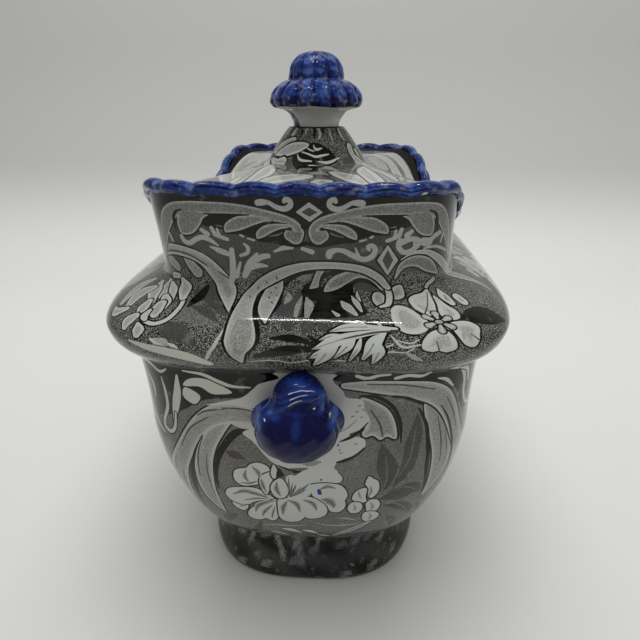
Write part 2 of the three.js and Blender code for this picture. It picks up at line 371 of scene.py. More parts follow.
@dataclass
class Print:
    """A drawing for a chart: outlines with tones, each laid over those before it."""

    patches: list[tuple[Array, float]] = field(default_factory=list)

    def lay(self, shape: Shape, tone: Tone, trim: float = 0.0) -> None:
        """Lay one flat tone.

        Args:
            shape: What is drawn.
            tone: Its tone.
            trim: How far it stays inside its own edge.
        """
        outline = shape.outline(trim)
        if len(outline) > 2:
            self.patches.append((outline, tone.value))

    def edged(self, shape: Shape, margin: float, core: Tone = Tone.GREY, key: float = 0.4) -> None:
        """Lay a white shape with a dark key line round it and a grey core.

        Args:
            shape: What is drawn.
            margin: The width of the white edge that is left round the core.
            core: The tone of the core.
            key: The width of the key line.
        """
        self.lay(shape, Tone.INK, -key)
        self.shade(shape, margin, core)

    def shade(self, shape: Shape, margin: float, core: Tone) -> None:
        """Lay a white shape that darkens in steps from its edge to its core.

        Args:
            shape: What is drawn.
            margin: The width of the white edge.
            core: The tone of the core.
        """
        self.lay(shape, Tone.PALE)
        for share, depth in ((0.5, 0.55), (1.0, 1.0), (2.0, 1.14)):
            outline = shape.outline(share * margin)
            if len(outline) > 2 and self.still_whole(shape, outline):
                self.patches.append((outline, mix(Tone.PALE.value, core.value, depth)))

    @staticmethod
    def still_whole(shape: Shape, outline: Array) -> bool:
        """Whether a trimmed outline hasn't turned inside out.

        Args:
            shape: The shape itself.
            outline: Its trimmed outline.

        Returns:
            Whether enough of the shape is left.
        """
        if not isinstance(shape, Lobe):
            return True
        return signed_area(outline) / signed_area(shape.outline()) > LEAST_CORE

    def white(self, shape: Shape, key: float = 0.4) -> None:
        """Lay a white shape with a dark key line round it."""
        self.lay(shape, Tone.INK, -key)
        self.lay(shape, Tone.BARE)

    def stroke(self, *knots: Knot, tone: Tone = Tone.PALE, key: float = 0.0) -> None:
        """Lay a brush stroke through knots.

        Args:
            knots: Places along the stroke with its width at each.
            tone: Its tone.
            key: The width of a dark key line round it, if any.
        """
        blade = Blade(knots, 0.6)
        if key:
            self.lay(blade, Tone.INK, -key)
        self.lay(blade, tone)

    def strokes(self, tone: Tone, *lines: tuple[Knot, ...]) -> None:
        """Lay several brush strokes of one tone."""
        for knots in lines:
            self.stroke(*knots, tone=tone)

    def leaves(self, tone: Tone, *lines: tuple[Knot, ...]) -> None:
        """Lay several flat blades of one tone."""
        for knots in lines:
            self.lay(Blade(knots), tone)

    def blades(self, key: float, *lines: tuple[Knot, ...]) -> None:
        """Lay several white blades, each with a key line of a width."""
        for knots in lines:
            self.white(Blade(knots), key)

    def lobes(self, tone: Tone, *outlines: tuple[Spot, ...]) -> None:
        """Lay several flat lobes of one tone."""
        for corners in outlines:
            self.lay(Lobe(corners), tone)

    def petals(self, key: float, *outlines: tuple[Spot, ...]) -> None:
        """Lay several white lobes, each with a key line of a width."""
        for corners in outlines:
            self.white(Lobe(corners), key)

    def folds(self, lines: tuple[tuple[Knot, ...], ...], *layers: tuple[float, Tone]) -> None:
        """Lay strokes in layers, each with its share of a stroke's own width and its tone.

        Args:
            lines: The strokes.
            layers: The shares and tones, from the lowest layer up.
        """
        for knots in lines:
            for share, tone in layers:
                self.stroke(*((x, y, share * width) for x, y, width in knots), tone=tone)

    def dots(self, tone: Tone, size: float, way: Spot, places: tuple[Spot, ...]) -> None:
        """Lay short dabs of one tone, which taper in the way that they run."""
        for x, y in places:
            self.lay(Blade(((x, y, size), (x + way[0], y + way[1], size - 0.1)), size - 0.1), tone)

    def placed(self, put: Callable[[Array], Array]) -> "Print":
        """Copy of the drawing with its outlines moved by a function."""
        return Print([(put(outline), tone) for outline, tone in self.patches])

    def add(self, other: "Print") -> None:
        """Lay another drawing over this one."""
        self.patches.extend(other.patches)


def mirrored(about: float, across: float = 0.0, up: float = 0.0) -> Callable[[Array], Array]:
    """Function that mirrors outlines about an upright line and then moves them."""
    return lambda outline: np.stack([2 * about - outline[:, 0] + across, outline[:, 1] + up], 1)


def shifted(across: float, up: float = 0.0) -> Callable[[Array], Array]:
    """Function that moves outlines."""
    return lambda outline: outline + np.array([across, up])


class Ornament:
    """The repeats of the print: scrolls, frames, flowers and leaves, each drawn once."""

    @staticmethod
    def neck_scroll() -> Print:
        """Acanthus scroll of the neck, curling in towards the diamond on its right.

        Returns:
            The drawing, in mm along the neck and up from the crease.
        """
        art = Print()
        art.strokes(
            Tone.INK,
            ((-8, 50.2, 1.4), (-3, 48.9, 2.4), (1, 46.6, 3), (2, 44.6, 2.4)),
            ((-20.5, 45.8, 3.6), (-17.5, 45.6, 4.2), (-12, 44.4, 4.6), (-7, 43, 4.4), (-3.4, 42.4, 3.4)),
            ((-9, 41, 0.8), (-5.6, 41.4, 2.2), (-1, 40, 1.2), (2, 40.4, 1)),
            ((-16.4, 42.6, 0.4), (-12.6, 43, 1), (-9.8, 43.8, 0.3)),
            ((-22.4, 44.4, 0.4), (-20.2, 46.4, 2.2), (-15.4, 47, 1)),
        )
        art.strokes(
            Tone.STIPPLE,
            ((-18.4, 44.4, 0.3), (-14.8, 43.9, 0.35), (-11.4, 44, 0.3)),
            ((-18, 43.4, 0.3), (-15.8, 43, 0.35)),
            ((-6.4, 42, 0.3), (-4.4, 42.4, 0.35), (-3.4, 43, 0.3)),
        )
        ball = Blade(((-1.6, 42.3, 3), (-0.6, 41.9, 3.6)))
        band = Blade((
            (-0.2, 41.7, 2.6), (0.5, 43, 2), (-0.4, 44.7, 2), (-2.8, 46, 2.1), (-6.6, 47.1, 2.1),
            (-11, 48, 2.4), (-15.5, 48.5, 2.6), (-20, 48.5, 2.9), (-24.6, 48.5, 2.8), (-28.6, 47.6, 3.4),
            (-31.4, 45.6, 4), (-33.6, 42.6, 3.6), (-35.4, 38.8, 2.4), (-36.6, 35.5, 0.8),
        ))
        lobes = (
            Lobe(((-9.4, 41.4), (-9.3, 43), (-7.2, 44.6), (-4.2, 45), (-1.6, 44.8), (-2, 44.1), (-4, 43.7),
                  (-6, 42.8), (-7.8, 41.8)), 0.5),
            Lobe(((-16.6, 42.9), (-16.3, 44.8), (-13.9, 46.4), (-11, 46.9), (-7.4, 46.9), (-4.6, 45.8),
                  (-7, 45.5), (-9.8, 44.6), (-12.6, 43.5), (-14.8, 43)), 0.5),
            Lobe(((-27.6, 46.5), (-28.3, 44.4), (-27.8, 42), (-25.6, 41.9), (-23.9, 42.7), (-22.4, 44.3),
                  (-21.2, 46), (-19.6, 47.2), (-23, 48), (-26.4, 47.8)), 0.5),
        )
        for shape in (*lobes, ball, band):
            art.lay(shape, Tone.INK, -0.4)
        for trim, tone in ((0, Tone.PALE), (0.25, Tone.SOFT), (0.55, Tone.GREY)):
            for shape in (*lobes, ball, band):
                art.lay(shape, tone, trim)
        art.strokes(
            Tone.INK,
            ((-26.4, 47.9, 0.3), (-28.3, 47, 0.7), (-29.2, 45, 0.9), (-29.2, 42.4, 0.3)),
            ((-3.4, 43.1, 0.3), (-2.6, 43.7, 0.5), (-1.2, 43.5, 0.3)),
            ((-20.8, 47.1, 0.3), (-15.6, 46.95, 0.7), (-10.6, 47, 0.3)),
            ((-7.6, 45.3, 0.2), (-4.6, 45.35, 0.35), (-2.2, 45, 0.2)),
        )
        art.strokes(
            Tone.PALE,
            ((-22.2, 43.2, 1), (-21, 42.3, 1.3)), ((-19.7, 43.8, 0.9), (-19.1, 42.2, 1.1)),
            ((-18.4, 43.6, 0.5), (-18.2, 42.2, 0.9)),
            ((-18.6, 41.9, 0.9), (-16.4, 41.1, 0.9)), ((-13.2, 42.2, 0.5), (-12.6, 41.9, 0.6)),
            ((-11.6, 41.4, 0.4), (-10.2, 41, 0.5)), ((-32, 41.6, 0.7), (-31.2, 39.8, 0.7)),
        )
        art.stroke(
            (-28, 41.3, 1), (-27.3, 40.1, 1.3), (-25.9, 39.8, 1.2), (-24, 40.9, 1.2), (-22.3, 41.4, 1.2),
            (-20.6, 40.8, 1.1), (-18.9, 39.6, 0.5),
        )
        return art

    @staticmethod
    def diamond(at: Spot, half_width: float, half_height: float) -> Print:
        """Open lozenge with a dark middle.

        Args:
            at: Its middle.
            half_width: Half its width.
            half_height: Half its height.

        Returns:
            The drawing, in mm along the neck and up from the crease.
        """
        art = Print()
        shape = Diamond(at, half_width, half_height)
        art.lay(shape, Tone.INK, -0.35)
        art.lay(shape, Tone.PALE)
        art.lay(shape, Tone.DEEP, 0.8)
        return art

    @staticmethod
    def small_scroll() -> Print:
        """S-scroll that stands beside the neck's diamond, on its left.

        Returns:
            The drawing, in mm along the neck and up from the crease.
        """
        art = Print()
        art.stroke(
            (-8.2, 49.9, 1.5), (-7.2, 50, 1.5), (-5.8, 49.9, 1), (-4.2, 48.9, 1.1), (-2.4, 48.5, 1.3),
            (-1.1, 49.3, 1.3), (-1.2, 50.4, 1.2), (-2.1, 50.7, 1.3), (-2.4, 50.2, 0.9),
        )
        return art

    @staticmethod
    def long_scroll() -> Print:
        """Longer S-scroll with a thorn, which runs from a ball on its left to a curl.

        Returns:
            The drawing, in mm along the neck and up from the crease.
        """
        art = Print()
        art.stroke(
            (6.9, 37.4, 1.6), (7.2, 38.2, 1.7), (8.6, 38.8, 1.1), (10.5, 38.6, 1.2), (12.5, 37.5, 1.4),
            (15, 36.6, 1.3), (17, 37.4, 1.3), (17.7, 39.2, 1.2), (16.9, 40, 1.2), (16.1, 39.6, 1.3),
            (16.3, 39, 0.8),
        )
        art.stroke((13.1, 39.4, 0.3), (13.7, 37.6, 0.9))
        return art

    @staticmethod
    def crossing() -> Print:
        """Upright stem with leaves where two frames of the shoulder meet.

        Returns:
            The drawing, in mm along the neck and up from the crease.
        """
        art = Print()
        art.strokes(
            Tone.PALE,
            ((-17, 30, 1.2), (-16.2, 34, 1.5), (-15.8, 38.6, 1.2)),
            ((-20.9, 39.2, 0.4), (-18.5, 38.2, 1.4), (-16, 37.2, 1)),
            ((-14.2, 35.5, 0.5), (-15.6, 32, 1.2)),
            ((-13.5, 32.2, 1.4), (-12, 35, 1.9), (-10, 37.6, 0.8)),
            ((-10.8, 35.6, 0.8), (-9, 36.9, 1.4), (-7.4, 37.2, 1.2)),
            ((-12, 33.9, 0.8), (-10, 34.8, 1.3), (-8, 34.7, 0.6)),
            ((-13.9, 37.2, 0.7), (-12.2, 37.9, 0.9), (-11.9, 39.2, 0.9), (-12.6, 40, 0.6)),
            ((-5.8, 38.3, 0.5), (-3.5, 39.2, 1.1), (-1.6, 39.4, 1)),
            ((0.8, 39.1, 0.9), (3, 38.3, 1.2)),
        )
        return art

    @staticmethod
    def shoulder_arch() -> Print:
        """Arched scroll on the shoulder, from its curls on the right to a long leaf on the left.

        Returns:
            The drawing, in mm along the neck and up from the crease.
        """
        art = Print()
        art.lay(Lobe((
            (-9.5, 9), (-10.5, 18), (-10, 27), (-6, 31.5), (0, 34), (8, 35), (15, 33.6), (19, 29), (18, 23),
            (16, 17), (13, 11.5), (5, 9.2),
        )), Tone.NIGHT)
        art.lay(Lobe(((-0.6, 20.4), (-0.4, 25), (0.4, 29.6), (2.6, 30.8), (6, 29), (9.5, 30), (12.4, 31.4),
                      (12, 27.4), (13, 24), (12.4, 20.8), (6, 19))), Tone.INK)
        art.lobes(
            Tone.DEEP,
            ((-4.4, 20.6), (-4.2, 23.4), (-2.4, 24.2), (-1.2, 27.4), (0.2, 27), (0, 20.2)),
            ((12.2, 30), (13.4, 31.6), (16.4, 31.2), (18.2, 29), (16.6, 27.6), (14.6, 28.6)),
        )
        art.strokes(
            Tone.DEEP,
            ((-2.8, 19, 0.6), (-2, 17.6, 2), (-1.4, 16.2, 0.6)),
            ((1, 19.2, 0.8), (1.6, 17.4, 2.6), (1, 15.6, 0.8)),
            ((3.2, 18.6, 0.6), (4.6, 17, 2), (5.4, 15.2, 0.5)),
            ((6, 19.4, 0.6), (8.6, 19, 1.8), (12, 19.6, 0.6)),
            ((12.4, 19.8, 0.5), (14, 18.2, 1.6), (15.6, 16.4, 0.4)),
        )
        art.strokes(
            Tone.INK,
            ((-4.5, 14.2, 0.5), (-1.4, 14.3, 1.8), (1.2, 13.6, 1.2), (3.2, 12.4, 0.4)),
            ((-6.8, 9.6, 0.8), (-2, 11.2, 2.6), (3.2, 11.9, 1)),
            ((1.8, 14.8, 0.5), (2.8, 13.8, 1), (3.4, 12.8, 0.4)),
            ((-4.6, 29, 0.4), (-2.6, 31.6, 1.2), (0.6, 33.2, 1.3), (4.2, 33.7, 0.5)),
            ((4.5, 30.6, 0.4), (5.3, 32.2, 1), (7.6, 33.2, 1), (10.4, 33.8, 0.3)),
            ((4.8, 27.6, 0.3), (8, 28, 1), (10.8, 29.6, 1.1), (13.4, 31.2, 0.9), (16.4, 30.9, 0.8),
             (18.6, 28.8, 0.3)),
            ((-4.3, 27.8, 0.4), (-4.4, 24, 0.9), (-5.2, 20.4, 0.3)),
            ((-9.2, 29.6, 0.3), (-9.1, 26, 0.9), (-8.2, 20.6, 0.8), (-6.9, 16, 0.6), (-6.6, 13.4, 0.5),
             (-8, 9.6, 0.3)),
        )
        art.strokes(
            Tone.GREY,
            ((0.2, 26.2, 0.3), (-0.4, 23.4, 1.1), (-0.7, 20.2, 0.8)),
            ((1.2, 26, 0.4), (1.8, 23.4, 1.9), (1.4, 20, 0.9)),
            ((-1.2, 31.6, 0.4), (0.6, 31.8, 1.6), (2.2, 32.4, 0.5)),
            ((-3, 27.6, 0.4), (-2.6, 25.6, 1.6), (-3.2, 23.8, 0.4)),
        )
        for knots in (
            ((8.6, 24.8, 0.5), (9.4, 23.2, 2), (10.7, 20.8, 0.8)),
            ((11.2, 26.6, 0.3), (11.6, 24.4, 1.3), (12, 21.8, 0.5)),
            ((12.9, 28.4, 0.2), (12.5, 26.6, 0.8), (12.6, 25, 0.3)), ((6.3, 21.8, 0.3), (7.2, 20.6, 1)),
        ):
            art.edged(Blade(knots), 0.25, Tone.SOFT, 0.3)
        lobe = Lobe((
            (5.2, 28), (5.7, 29.8), (6.6, 31.3), (8.2, 32.5), (10.4, 33.4), (13, 34.1), (16, 33.4),
            (18.4, 31.4), (19.6, 29.2), (18.9, 28.6), (17.8, 30.3), (16, 31.7), (13.6, 32), (11.2, 30.8),
            (9, 29.3), (7, 28.3),
        ))
        spur = Lobe(((4, 33.8), (2.7, 31.2), (1.9, 29), (3.1, 29.2), (4, 29.6), (4.2, 30.9), (4.7, 32.4),
                     (5.6, 33.8)), 0.4)
        inner = Blade(((-5.6, 31.4, 2.4), (-6.4, 28.5, 3.9), (-6.7, 24, 3.6), (-6.6, 21, 2.5), (-6, 18, 0.3)))
        left_bud = Lobe(((17, 28), (18.1, 27.8), (18.4, 26.5), (17.7, 24.6), (17.2, 23.3), (15.8, 23.3),
                         (15.3, 25), (15.8, 26.8)))
        right_bud = Lobe(((23, 30.1), (24, 30), (23.8, 28.3), (22.5, 26.2), (20.5, 25.5), (19.6, 26.3),
                          (20.4, 28), (21.6, 29.4)))
        band = Blade((
            (20.4, 29.6, 1.5), (18.6, 31.9, 1.7), (15, 34, 1.7), (10, 34.9, 1.6), (5, 35, 1.7), (0, 34.5, 2),
            (-5, 32.8, 2.6), (-9.3, 30.3, 2.8), (-11.1, 27.6, 3), (-11.2, 24, 3.2), (-10.8, 20, 3.9),
            (-9.8, 15.2, 5), (-9.6, 12.8, 4.9), (-9.8, 10.2, 2.8), (-9.4, 7.8, 0.6),
        ))
        hook = Blade(((20.5, 30, 1.5), (20, 27.8, 1.3), (19, 25.6, 1.2), (17.9, 23.9, 1), (16.2, 23.2, 0.6)))
        for shape in (inner, spur, lobe, left_bud, right_bud):
            art.edged(shape, 0.5, Tone.SOFT, 0.45)
        art.edged(hook, 0.35, Tone.PALE, 0.4)
        art.edged(band, 0.45, Tone.SOFT, 0.5)
        art.lobes(
            Tone.GREY,
            ((-10.9, 19), (-9, 19), (-8, 15.6), (-8, 13), (-9.4, 9.6), (-10.8, 12), (-11.4, 15.6)),
            ((6.6, 29.4), (8, 31.4), (11, 32.8), (14, 33.2), (12.4, 32.2), (9.6, 30.4)),
            ((16.9, 27), (17.5, 25.6), (16.8, 24.4), (16, 25.2)),
            ((22.8, 29), (22.4, 27.4), (20.8, 26.6), (21.4, 28.2)),
        )
        dots = (
            (-6.9, 27.6), (-6.2, 29.2), (-7, 25.9), (-6.1, 24.4), (-11.2, 26.2), (-10.4, 29.2), (-8.6, 30.9),
            (-6, 32), (-5.6, 27),
        )
        art.dots(Tone.NIGHT, 0.4, (0.3, -0.5), dots)
        # Painted highlights: thin wavy strokes of bare glaze along the lower edge of the shoulder.
        art.strokes(
            Tone.BARE,
            ((-8.4, 8, 0.12), (-4, 8.6, 0.3), (-1, 8, 0.2), (2, 9, 0.3)),
            ((2.6, 10.2, 0.2), (5, 9.4, 0.35), (9, 8.6, 0.2)),
            ((13.5, 10.8, 0.2), (15, 11.4, 0.35), (17.2, 11.2, 0.3), (18.8, 12.2, 0.2)),
            ((12.2, 13, 0.2), (14, 12.6, 0.3), (15.6, 13.2, 0.2)),
            ((16, 14.2, 0.2), (18.4, 13.4, 0.3), (20, 14.2, 0.2)),
        )
        return art

    @staticmethod
    def side_arch() -> Print:
        """Double line of the frame that leans from the crossing over the corner flower.

        Returns:
            The drawing, in mm along the neck and up from the crease.
        """
        art = Print()
        leg = Blade((
            (-42, 32.5, 2.4), (-38.5, 35.4, 2.6), (-34, 37.2, 2.6), (-30, 37.6, 2.6), (-26, 37, 2.6),
            (-22.8, 35.4, 3), (-20.4, 32.6, 3.6), (-18, 29.2, 3.8), (-15.6, 25.6, 2.8), (-13.7, 21.2, 0.3),
        ))
        lobes = (
            Blade(((-34.5, 36.6, 0.8), (-34, 34.8, 2.6), (-31.2, 33, 2), (-30.6, 32.6, 0.4))),
            Blade(((-28.8, 36.6, 0.6), (-27.2, 34.8, 2.2), (-25.4, 32.6, 2.8))),
        )
        for shape in (*lobes, leg):
            art.edged(shape, 0.5, Tone.SOFT)
        art.lay(Blade(((-40, 34.4, 0.4), (-33, 37, 0.5), (-27, 36.8, 0.5), (-22, 34.2, 0.5),
                       (-17.4, 31.4, 0.4))),
                Tone.DEEP)
        art.lay(leg, Tone.GREY, 1.15)
        return art

    @staticmethod
    def corner_leaf() -> Print:
        """Pointed leaf and its long double line, right of the neck's lower diamond.

        Returns:
            The drawing, in mm along the neck and up from the crease.
        """
        art = Print()
        line = Blade((
            (24, 36.4, 0.6), (27, 37.9, 0.9), (30.5, 37.8, 1.2), (34.5, 35.7, 2), (38.5, 32.9, 2.6),
            (43, 29.9, 2.8), (47, 26.6, 2.8), (51, 22, 1.6), (53, 17, 0.4),
        ))
        leaf = Blade(((22.4, 31.8, 0.3), (24.2, 35, 1.6), (27.6, 35.9, 2.7), (31.2, 34.4, 3.2),
                      (34.4, 32, 0.8)))
        art.edged(line, 0.45, Tone.SOFT)
        art.edged(leaf, 0.5, Tone.GREY)
        art.stroke((29.5, 38.8, 0.4), (33, 38.9, 0.7), (37, 37.6, 0.7), (41, 36, 0.3))
        art.stroke(
            (24.9, 41.6, 0.8), (24.3, 40.9, 1.2), (23.4, 41.1, 1.2), (23.1, 39.7, 1.3), (24.2, 38.3, 1.3),
            (25.9, 38.4, 1.2), (27.4, 39.4, 1.3), (29.2, 40.9, 1.2), (31.4, 41, 1.3), (33.6, 41.8, 1.2),
            (36.9, 42.9, 0.7),
        )
        art.stroke((26.6, 41.6, 0.3), (27.1, 39.6, 0.8))
        return art

    @staticmethod
    def dog_rose() -> Print:
        """Open five-petalled rose with a star of stamens, its bud and a dark leaf.

        Returns:
            The drawing, in mm along the neck and up from the crease.
        """
        art = Print()
        art.stroke((30.5, 18.5, 1), (33.5, 18.2, 4.2), (37.5, 16.6, 4.8), (42.5, 13, 0.5), tone=Tone.INK)
        art.stroke((29, 27.6, 0.6), (30.6, 29.4, 0.8), (33, 30.6, 1.3), key=0.3)
        petals = (
            Lobe(((22.6, 20.8), (21.4, 23), (19.4, 23.6), (17.6, 21.8), (17, 18.6), (17.8, 16.2), (20, 15.5),
                  (22.3, 16.4), (23.4, 18.4))),
            Lobe(((24.6, 20.2), (22.8, 22.4), (23, 25.2), (24.8, 26.6), (27.4, 27.2), (29.6, 28.2),
                  (28.6, 25.6), (27.4, 22.6), (26.4, 20.6))),
            Lobe(((26.8, 20.4), (28, 23), (29.4, 26), (30, 22.6), (30.8, 20.6), (30.4, 18.8), (28.8, 18.2),
                  (27.4, 18.8))),
            Lobe(((27, 17.4), (27.2, 14.2), (27.9, 12), (29.6, 11), (31, 12.4), (31.6, 13.6), (32.5, 15.2),
                  (31.4, 17), (29.4, 17.8))),
            Lobe(((24.8, 16.4), (22.6, 15.8), (20.6, 13.8), (20.2, 12), (21.8, 11.1), (22.9, 11.4),
                  (24, 10.7), (26, 11.4), (26.4, 13.6), (25.9, 15.6))),
        )
        for petal in petals:
            art.white(petal, 0.45)
            for trim, tone in ((0.9, Tone.PALE), (1.5, Tone.SOFT)):
                if Print.still_whole(petal, petal.outline(trim)):
                    art.lay(petal, tone, trim)
        art.strokes(
            Tone.SOFT,
            ((18.6, 18.6, 0.6), (20.4, 17.8, 1), (22, 18.6, 0.5)),
            ((24, 23.4, 0.5), (24.8, 22.2, 1.2), (25.4, 21, 0.5)),
            ((29.2, 21.6, 0.4), (29, 19.9, 0.9)), ((29.8, 15.6, 0.5), (28.6, 14.6, 1), (28, 13.4, 0.4)),
            ((22.6, 14, 0.5), (23.2, 13, 0.8), (23.4, 11.8, 0.3)), ((25.2, 14.6, 0.4), (24.8, 12.8, 0.8)),
        )
        art.strokes(
            Tone.DEEP,
            ((22.9, 13.6, 0.2), (22.9, 11.6, 0.35)),
            ((29.9, 14.2, 0.2), (30.9, 12.6, 0.35)),
            ((24, 20.9, 0.3), (25.6, 22.8, 0.25), (28.6, 27, 0.2)),
        )
        for turn in np.arange(0.3, 6.5, 2 * math.pi / 6):
            far = (25.4 + 2.4 * math.cos(turn), 18.3 + 2.4 * math.sin(turn))
            near = (25.4 + 0.9 * math.cos(turn), 18.3 + 0.9 * math.sin(turn))
            art.lay(Blade(((*near, 0.7), (*far, 1.5)), 0.5), Tone.INK, -0.25)
            art.lay(Blade(((*near, 0.5), (*far, 1.4)), 0.5), Tone.SOFT)
            art.lay(Blade(((*near, 0.3), (*far, 0.7)), 0.5), Tone.PALE)
        art.lay(Blade(((25.1, 18.3, 1), (25.7, 18.3, 1)), 0.5), Tone.INK, -0.3)
        art.lay(Blade(((25.1, 18.3, 0.9), (25.7, 18.3, 0.9)), 0.5), Tone.SOFT)
        art.white(Blade(((32.3, 27.6, 0.4), (31.6, 25.2, 2.4), (31.6, 22.8, 1.6))))
        art.lay(Blade(((31.9, 25.4, 0.4), (31.5, 24, 0.9), (31.6, 23.4, 0.3))), Tone.GREY)
        art.white(Blade(((34.7, 23.8, 2.4), (34.8, 22.3, 2.4))))
        art.lay(Blade(((34.7, 23.4, 0.8), (34.8, 22.5, 0.8))), Tone.SOFT)
        return art

    @staticmethod
    def leaf_spray() -> Print:
        """Feathery white spray of cut leaves, left of the rose.

        Returns:
            The drawing, in mm along the neck and up from the crease.
        """
        art = Print()
        lobes = (
            ((17, 17, 0.6), (12, 17.4, 1.4), (8.5, 17.2, 1.9), (5.4, 16.1, 0.2)),
            ((12, 17.4, 0.5), (11, 18.6, 0.9), (8.6, 18.4, 0.2)),
            ((14.5, 17.3, 0.4), (14.2, 18.6, 0.8), (12.6, 18.8, 0.2)),
            ((15.5, 16.6, 0.6), (10, 15.4, 1.6), (5.8, 13.6, 2.4), (2.4, 11.8, 0.2)),
            ((8, 15, 0.6), (5.6, 15, 1.1), (3.6, 14, 0.2)), ((9.6, 15.2, 0.5), (8, 12.6, 1.7), (6, 9.6, 0.3)),
            ((6.6, 13.4, 0.6), (4.6, 10.6, 2.4), (2.8, 7.4, 0.6)),
            ((4.8, 12.6, 0.4), (3.2, 10.4, 1.2), (2, 9.4, 0.2)),
            ((14.8, 16, 0.5), (12.4, 13.4, 2.3), (10.6, 9.6, 0.6)),
            ((13.2, 14, 0.5), (13, 11.2, 2), (12.2, 8.2, 0.3)),
            ((10.4, 14.4, 0.4), (9.6, 12, 1), (8.4, 9, 0.3)),
        )
        for knots in lobes:
            art.lay(Blade(knots), Tone.INK, -0.45)
        for knots in lobes:
            art.lay(Blade(knots), Tone.BARE)
        for knots in lobes:
            thin = tuple((u, v, 0.28) for u, v, _ in knots[1:])
            art.lay(Blade(thin), Tone.GREY)
        art.stroke((17.5, 16.4, 0.3), (13, 16, 0.5), (7.6, 14.4, 0.3), tone=Tone.DEEP)
        art.stroke((15.6, 15.2, 0.3), (17, 12.6, 0.6), (20, 13, 0.3), tone=Tone.PALE)
        art.stroke((17.2, 11.2, 0.4), (18.6, 10, 0.9), (20.2, 9, 0.4), tone=Tone.SOFT)
        return art

    @staticmethod
    def side_rose() -> Print:
        """Full rose seen from its side, with a pale ring of sepals.

        Returns:
            The drawing, in mm along the neck and up from the crease.
        """
        art = Print()
        art.lay(Lobe(((-24, 27), (-22, 31), (-18, 33), (-14.8, 27), (-13.4, 20), (-16, 21), (-20, 24))),
                Tone.DEEP)
        art.lay(Lobe(((-24, 20), (-22.5, 24), (-19, 22), (-15.4, 20), (-14.5, 17.5), (-18, 17), (-22, 18))),
                Tone.STIPPLE)
        art.strokes(
            Tone.BARE,
            ((-29.5, 10.8, 0.6), (-26, 10.2, 1.6), (-22, 9.6, 2.2), (-18, 8.4, 2.6), (-15.4, 6.6, 2)),
            ((-25, 12.4, 0.6), (-23.6, 12, 1.6), (-22.4, 11.4, 0.6)),
            ((-21.6, 12, 0.4), (-20.6, 11.4, 1), (-19.8, 10.8, 0.4)),
        )
        art.strokes(
            Tone.DEEP,
            ((-24, 16.6, 1), (-21, 15.2, 3.6), (-17.2, 12.2, 1)),
            ((-24, 15, 0.6), (-22.4, 13.8, 2), (-20.6, 13.2, 0.6)),
            ((-22, 22.4, 0.4), (-18, 20.8, 2), (-14.6, 18, 0.5)),
        )
        art.stroke((-22.6, 29, 1), (-22, 25, 2.6), (-22.4, 22, 0.6), tone=Tone.INK)
        art.white(Blade(((-24.9, 24.4, 0.7), (-23.9, 21.5, 0.9), (-24.1, 18, 1), (-26, 16.2, 1),
                         (-28.6, 16.4, 0.8))))
        petals = (
            ((-33.5, 30.6, 1.6), (-31.4, 30.8, 1.4)),
            ((-34.8, 29.2, 0.5), (-32.6, 27, 2.4), (-30.4, 23.6, 1.2)),
            ((-30.2, 30.2, 1), (-27.4, 27.6, 2.6), (-25.2, 24.4, 1.4)),
            ((-33, 28.6, 0.6), (-29.8, 26.4, 1.8), (-27, 23, 0.8)),
            ((-36.5, 27.4, 1.2), (-34, 24.4, 3.2), (-31, 21.6, 1.2)),
            ((-29.8, 24.2, 1.4), (-28, 22.4, 2.4), (-26.8, 20.6, 0.8)),
            ((-28.6, 21.8, 2.2), (-28, 19.4, 2.8), (-27.4, 18.4, 1.6)),
            ((-32, 21.6, 1.6), (-31.6, 19.4, 2.6), (-31.4, 17.8, 1.2)),
            ((-29.4, 19.4, 0.8), (-29.4, 17.6, 1.6), (-28.6, 16.8, 1)),
            ((-31.4, 17, 1.8), (-32.2, 15.2, 2.8), (-31.9, 13.6, 1.4)),
            ((-29.4, 15.4, 0.8), (-28.4, 14, 2.6), (-28.2, 12.8, 1.6)),
            ((-36, 25, 2), (-37.6, 21.8, 4.2), (-36.4, 18.4, 2)),
            ((-40.6, 26.6, 1), (-42, 22.4, 4), (-40, 17.6, 1.6)),
            ((-35.6, 17.6, 1.2), (-38.6, 15.2, 2.4), (-40.8, 15.6, 0.8)),
        )
        for knots in petals:
            art.white(Blade(knots), 0.35)
            art.lay(Blade(knots), Tone.PALE, 0.35)
            art.lay(Blade(knots), Tone.SOFT, 0.7)
        art.stroke((-24, 12.6, 0.8), (-22.4, 12.2, 1.6), (-21.6, 11.4, 0.6), tone=Tone.SOFT)
        art.stroke((-12.9, 16, 0.3), (-13.6, 12, 0.7), (-15.2, 8.4, 0.5), tone=Tone.PALE)
        return art

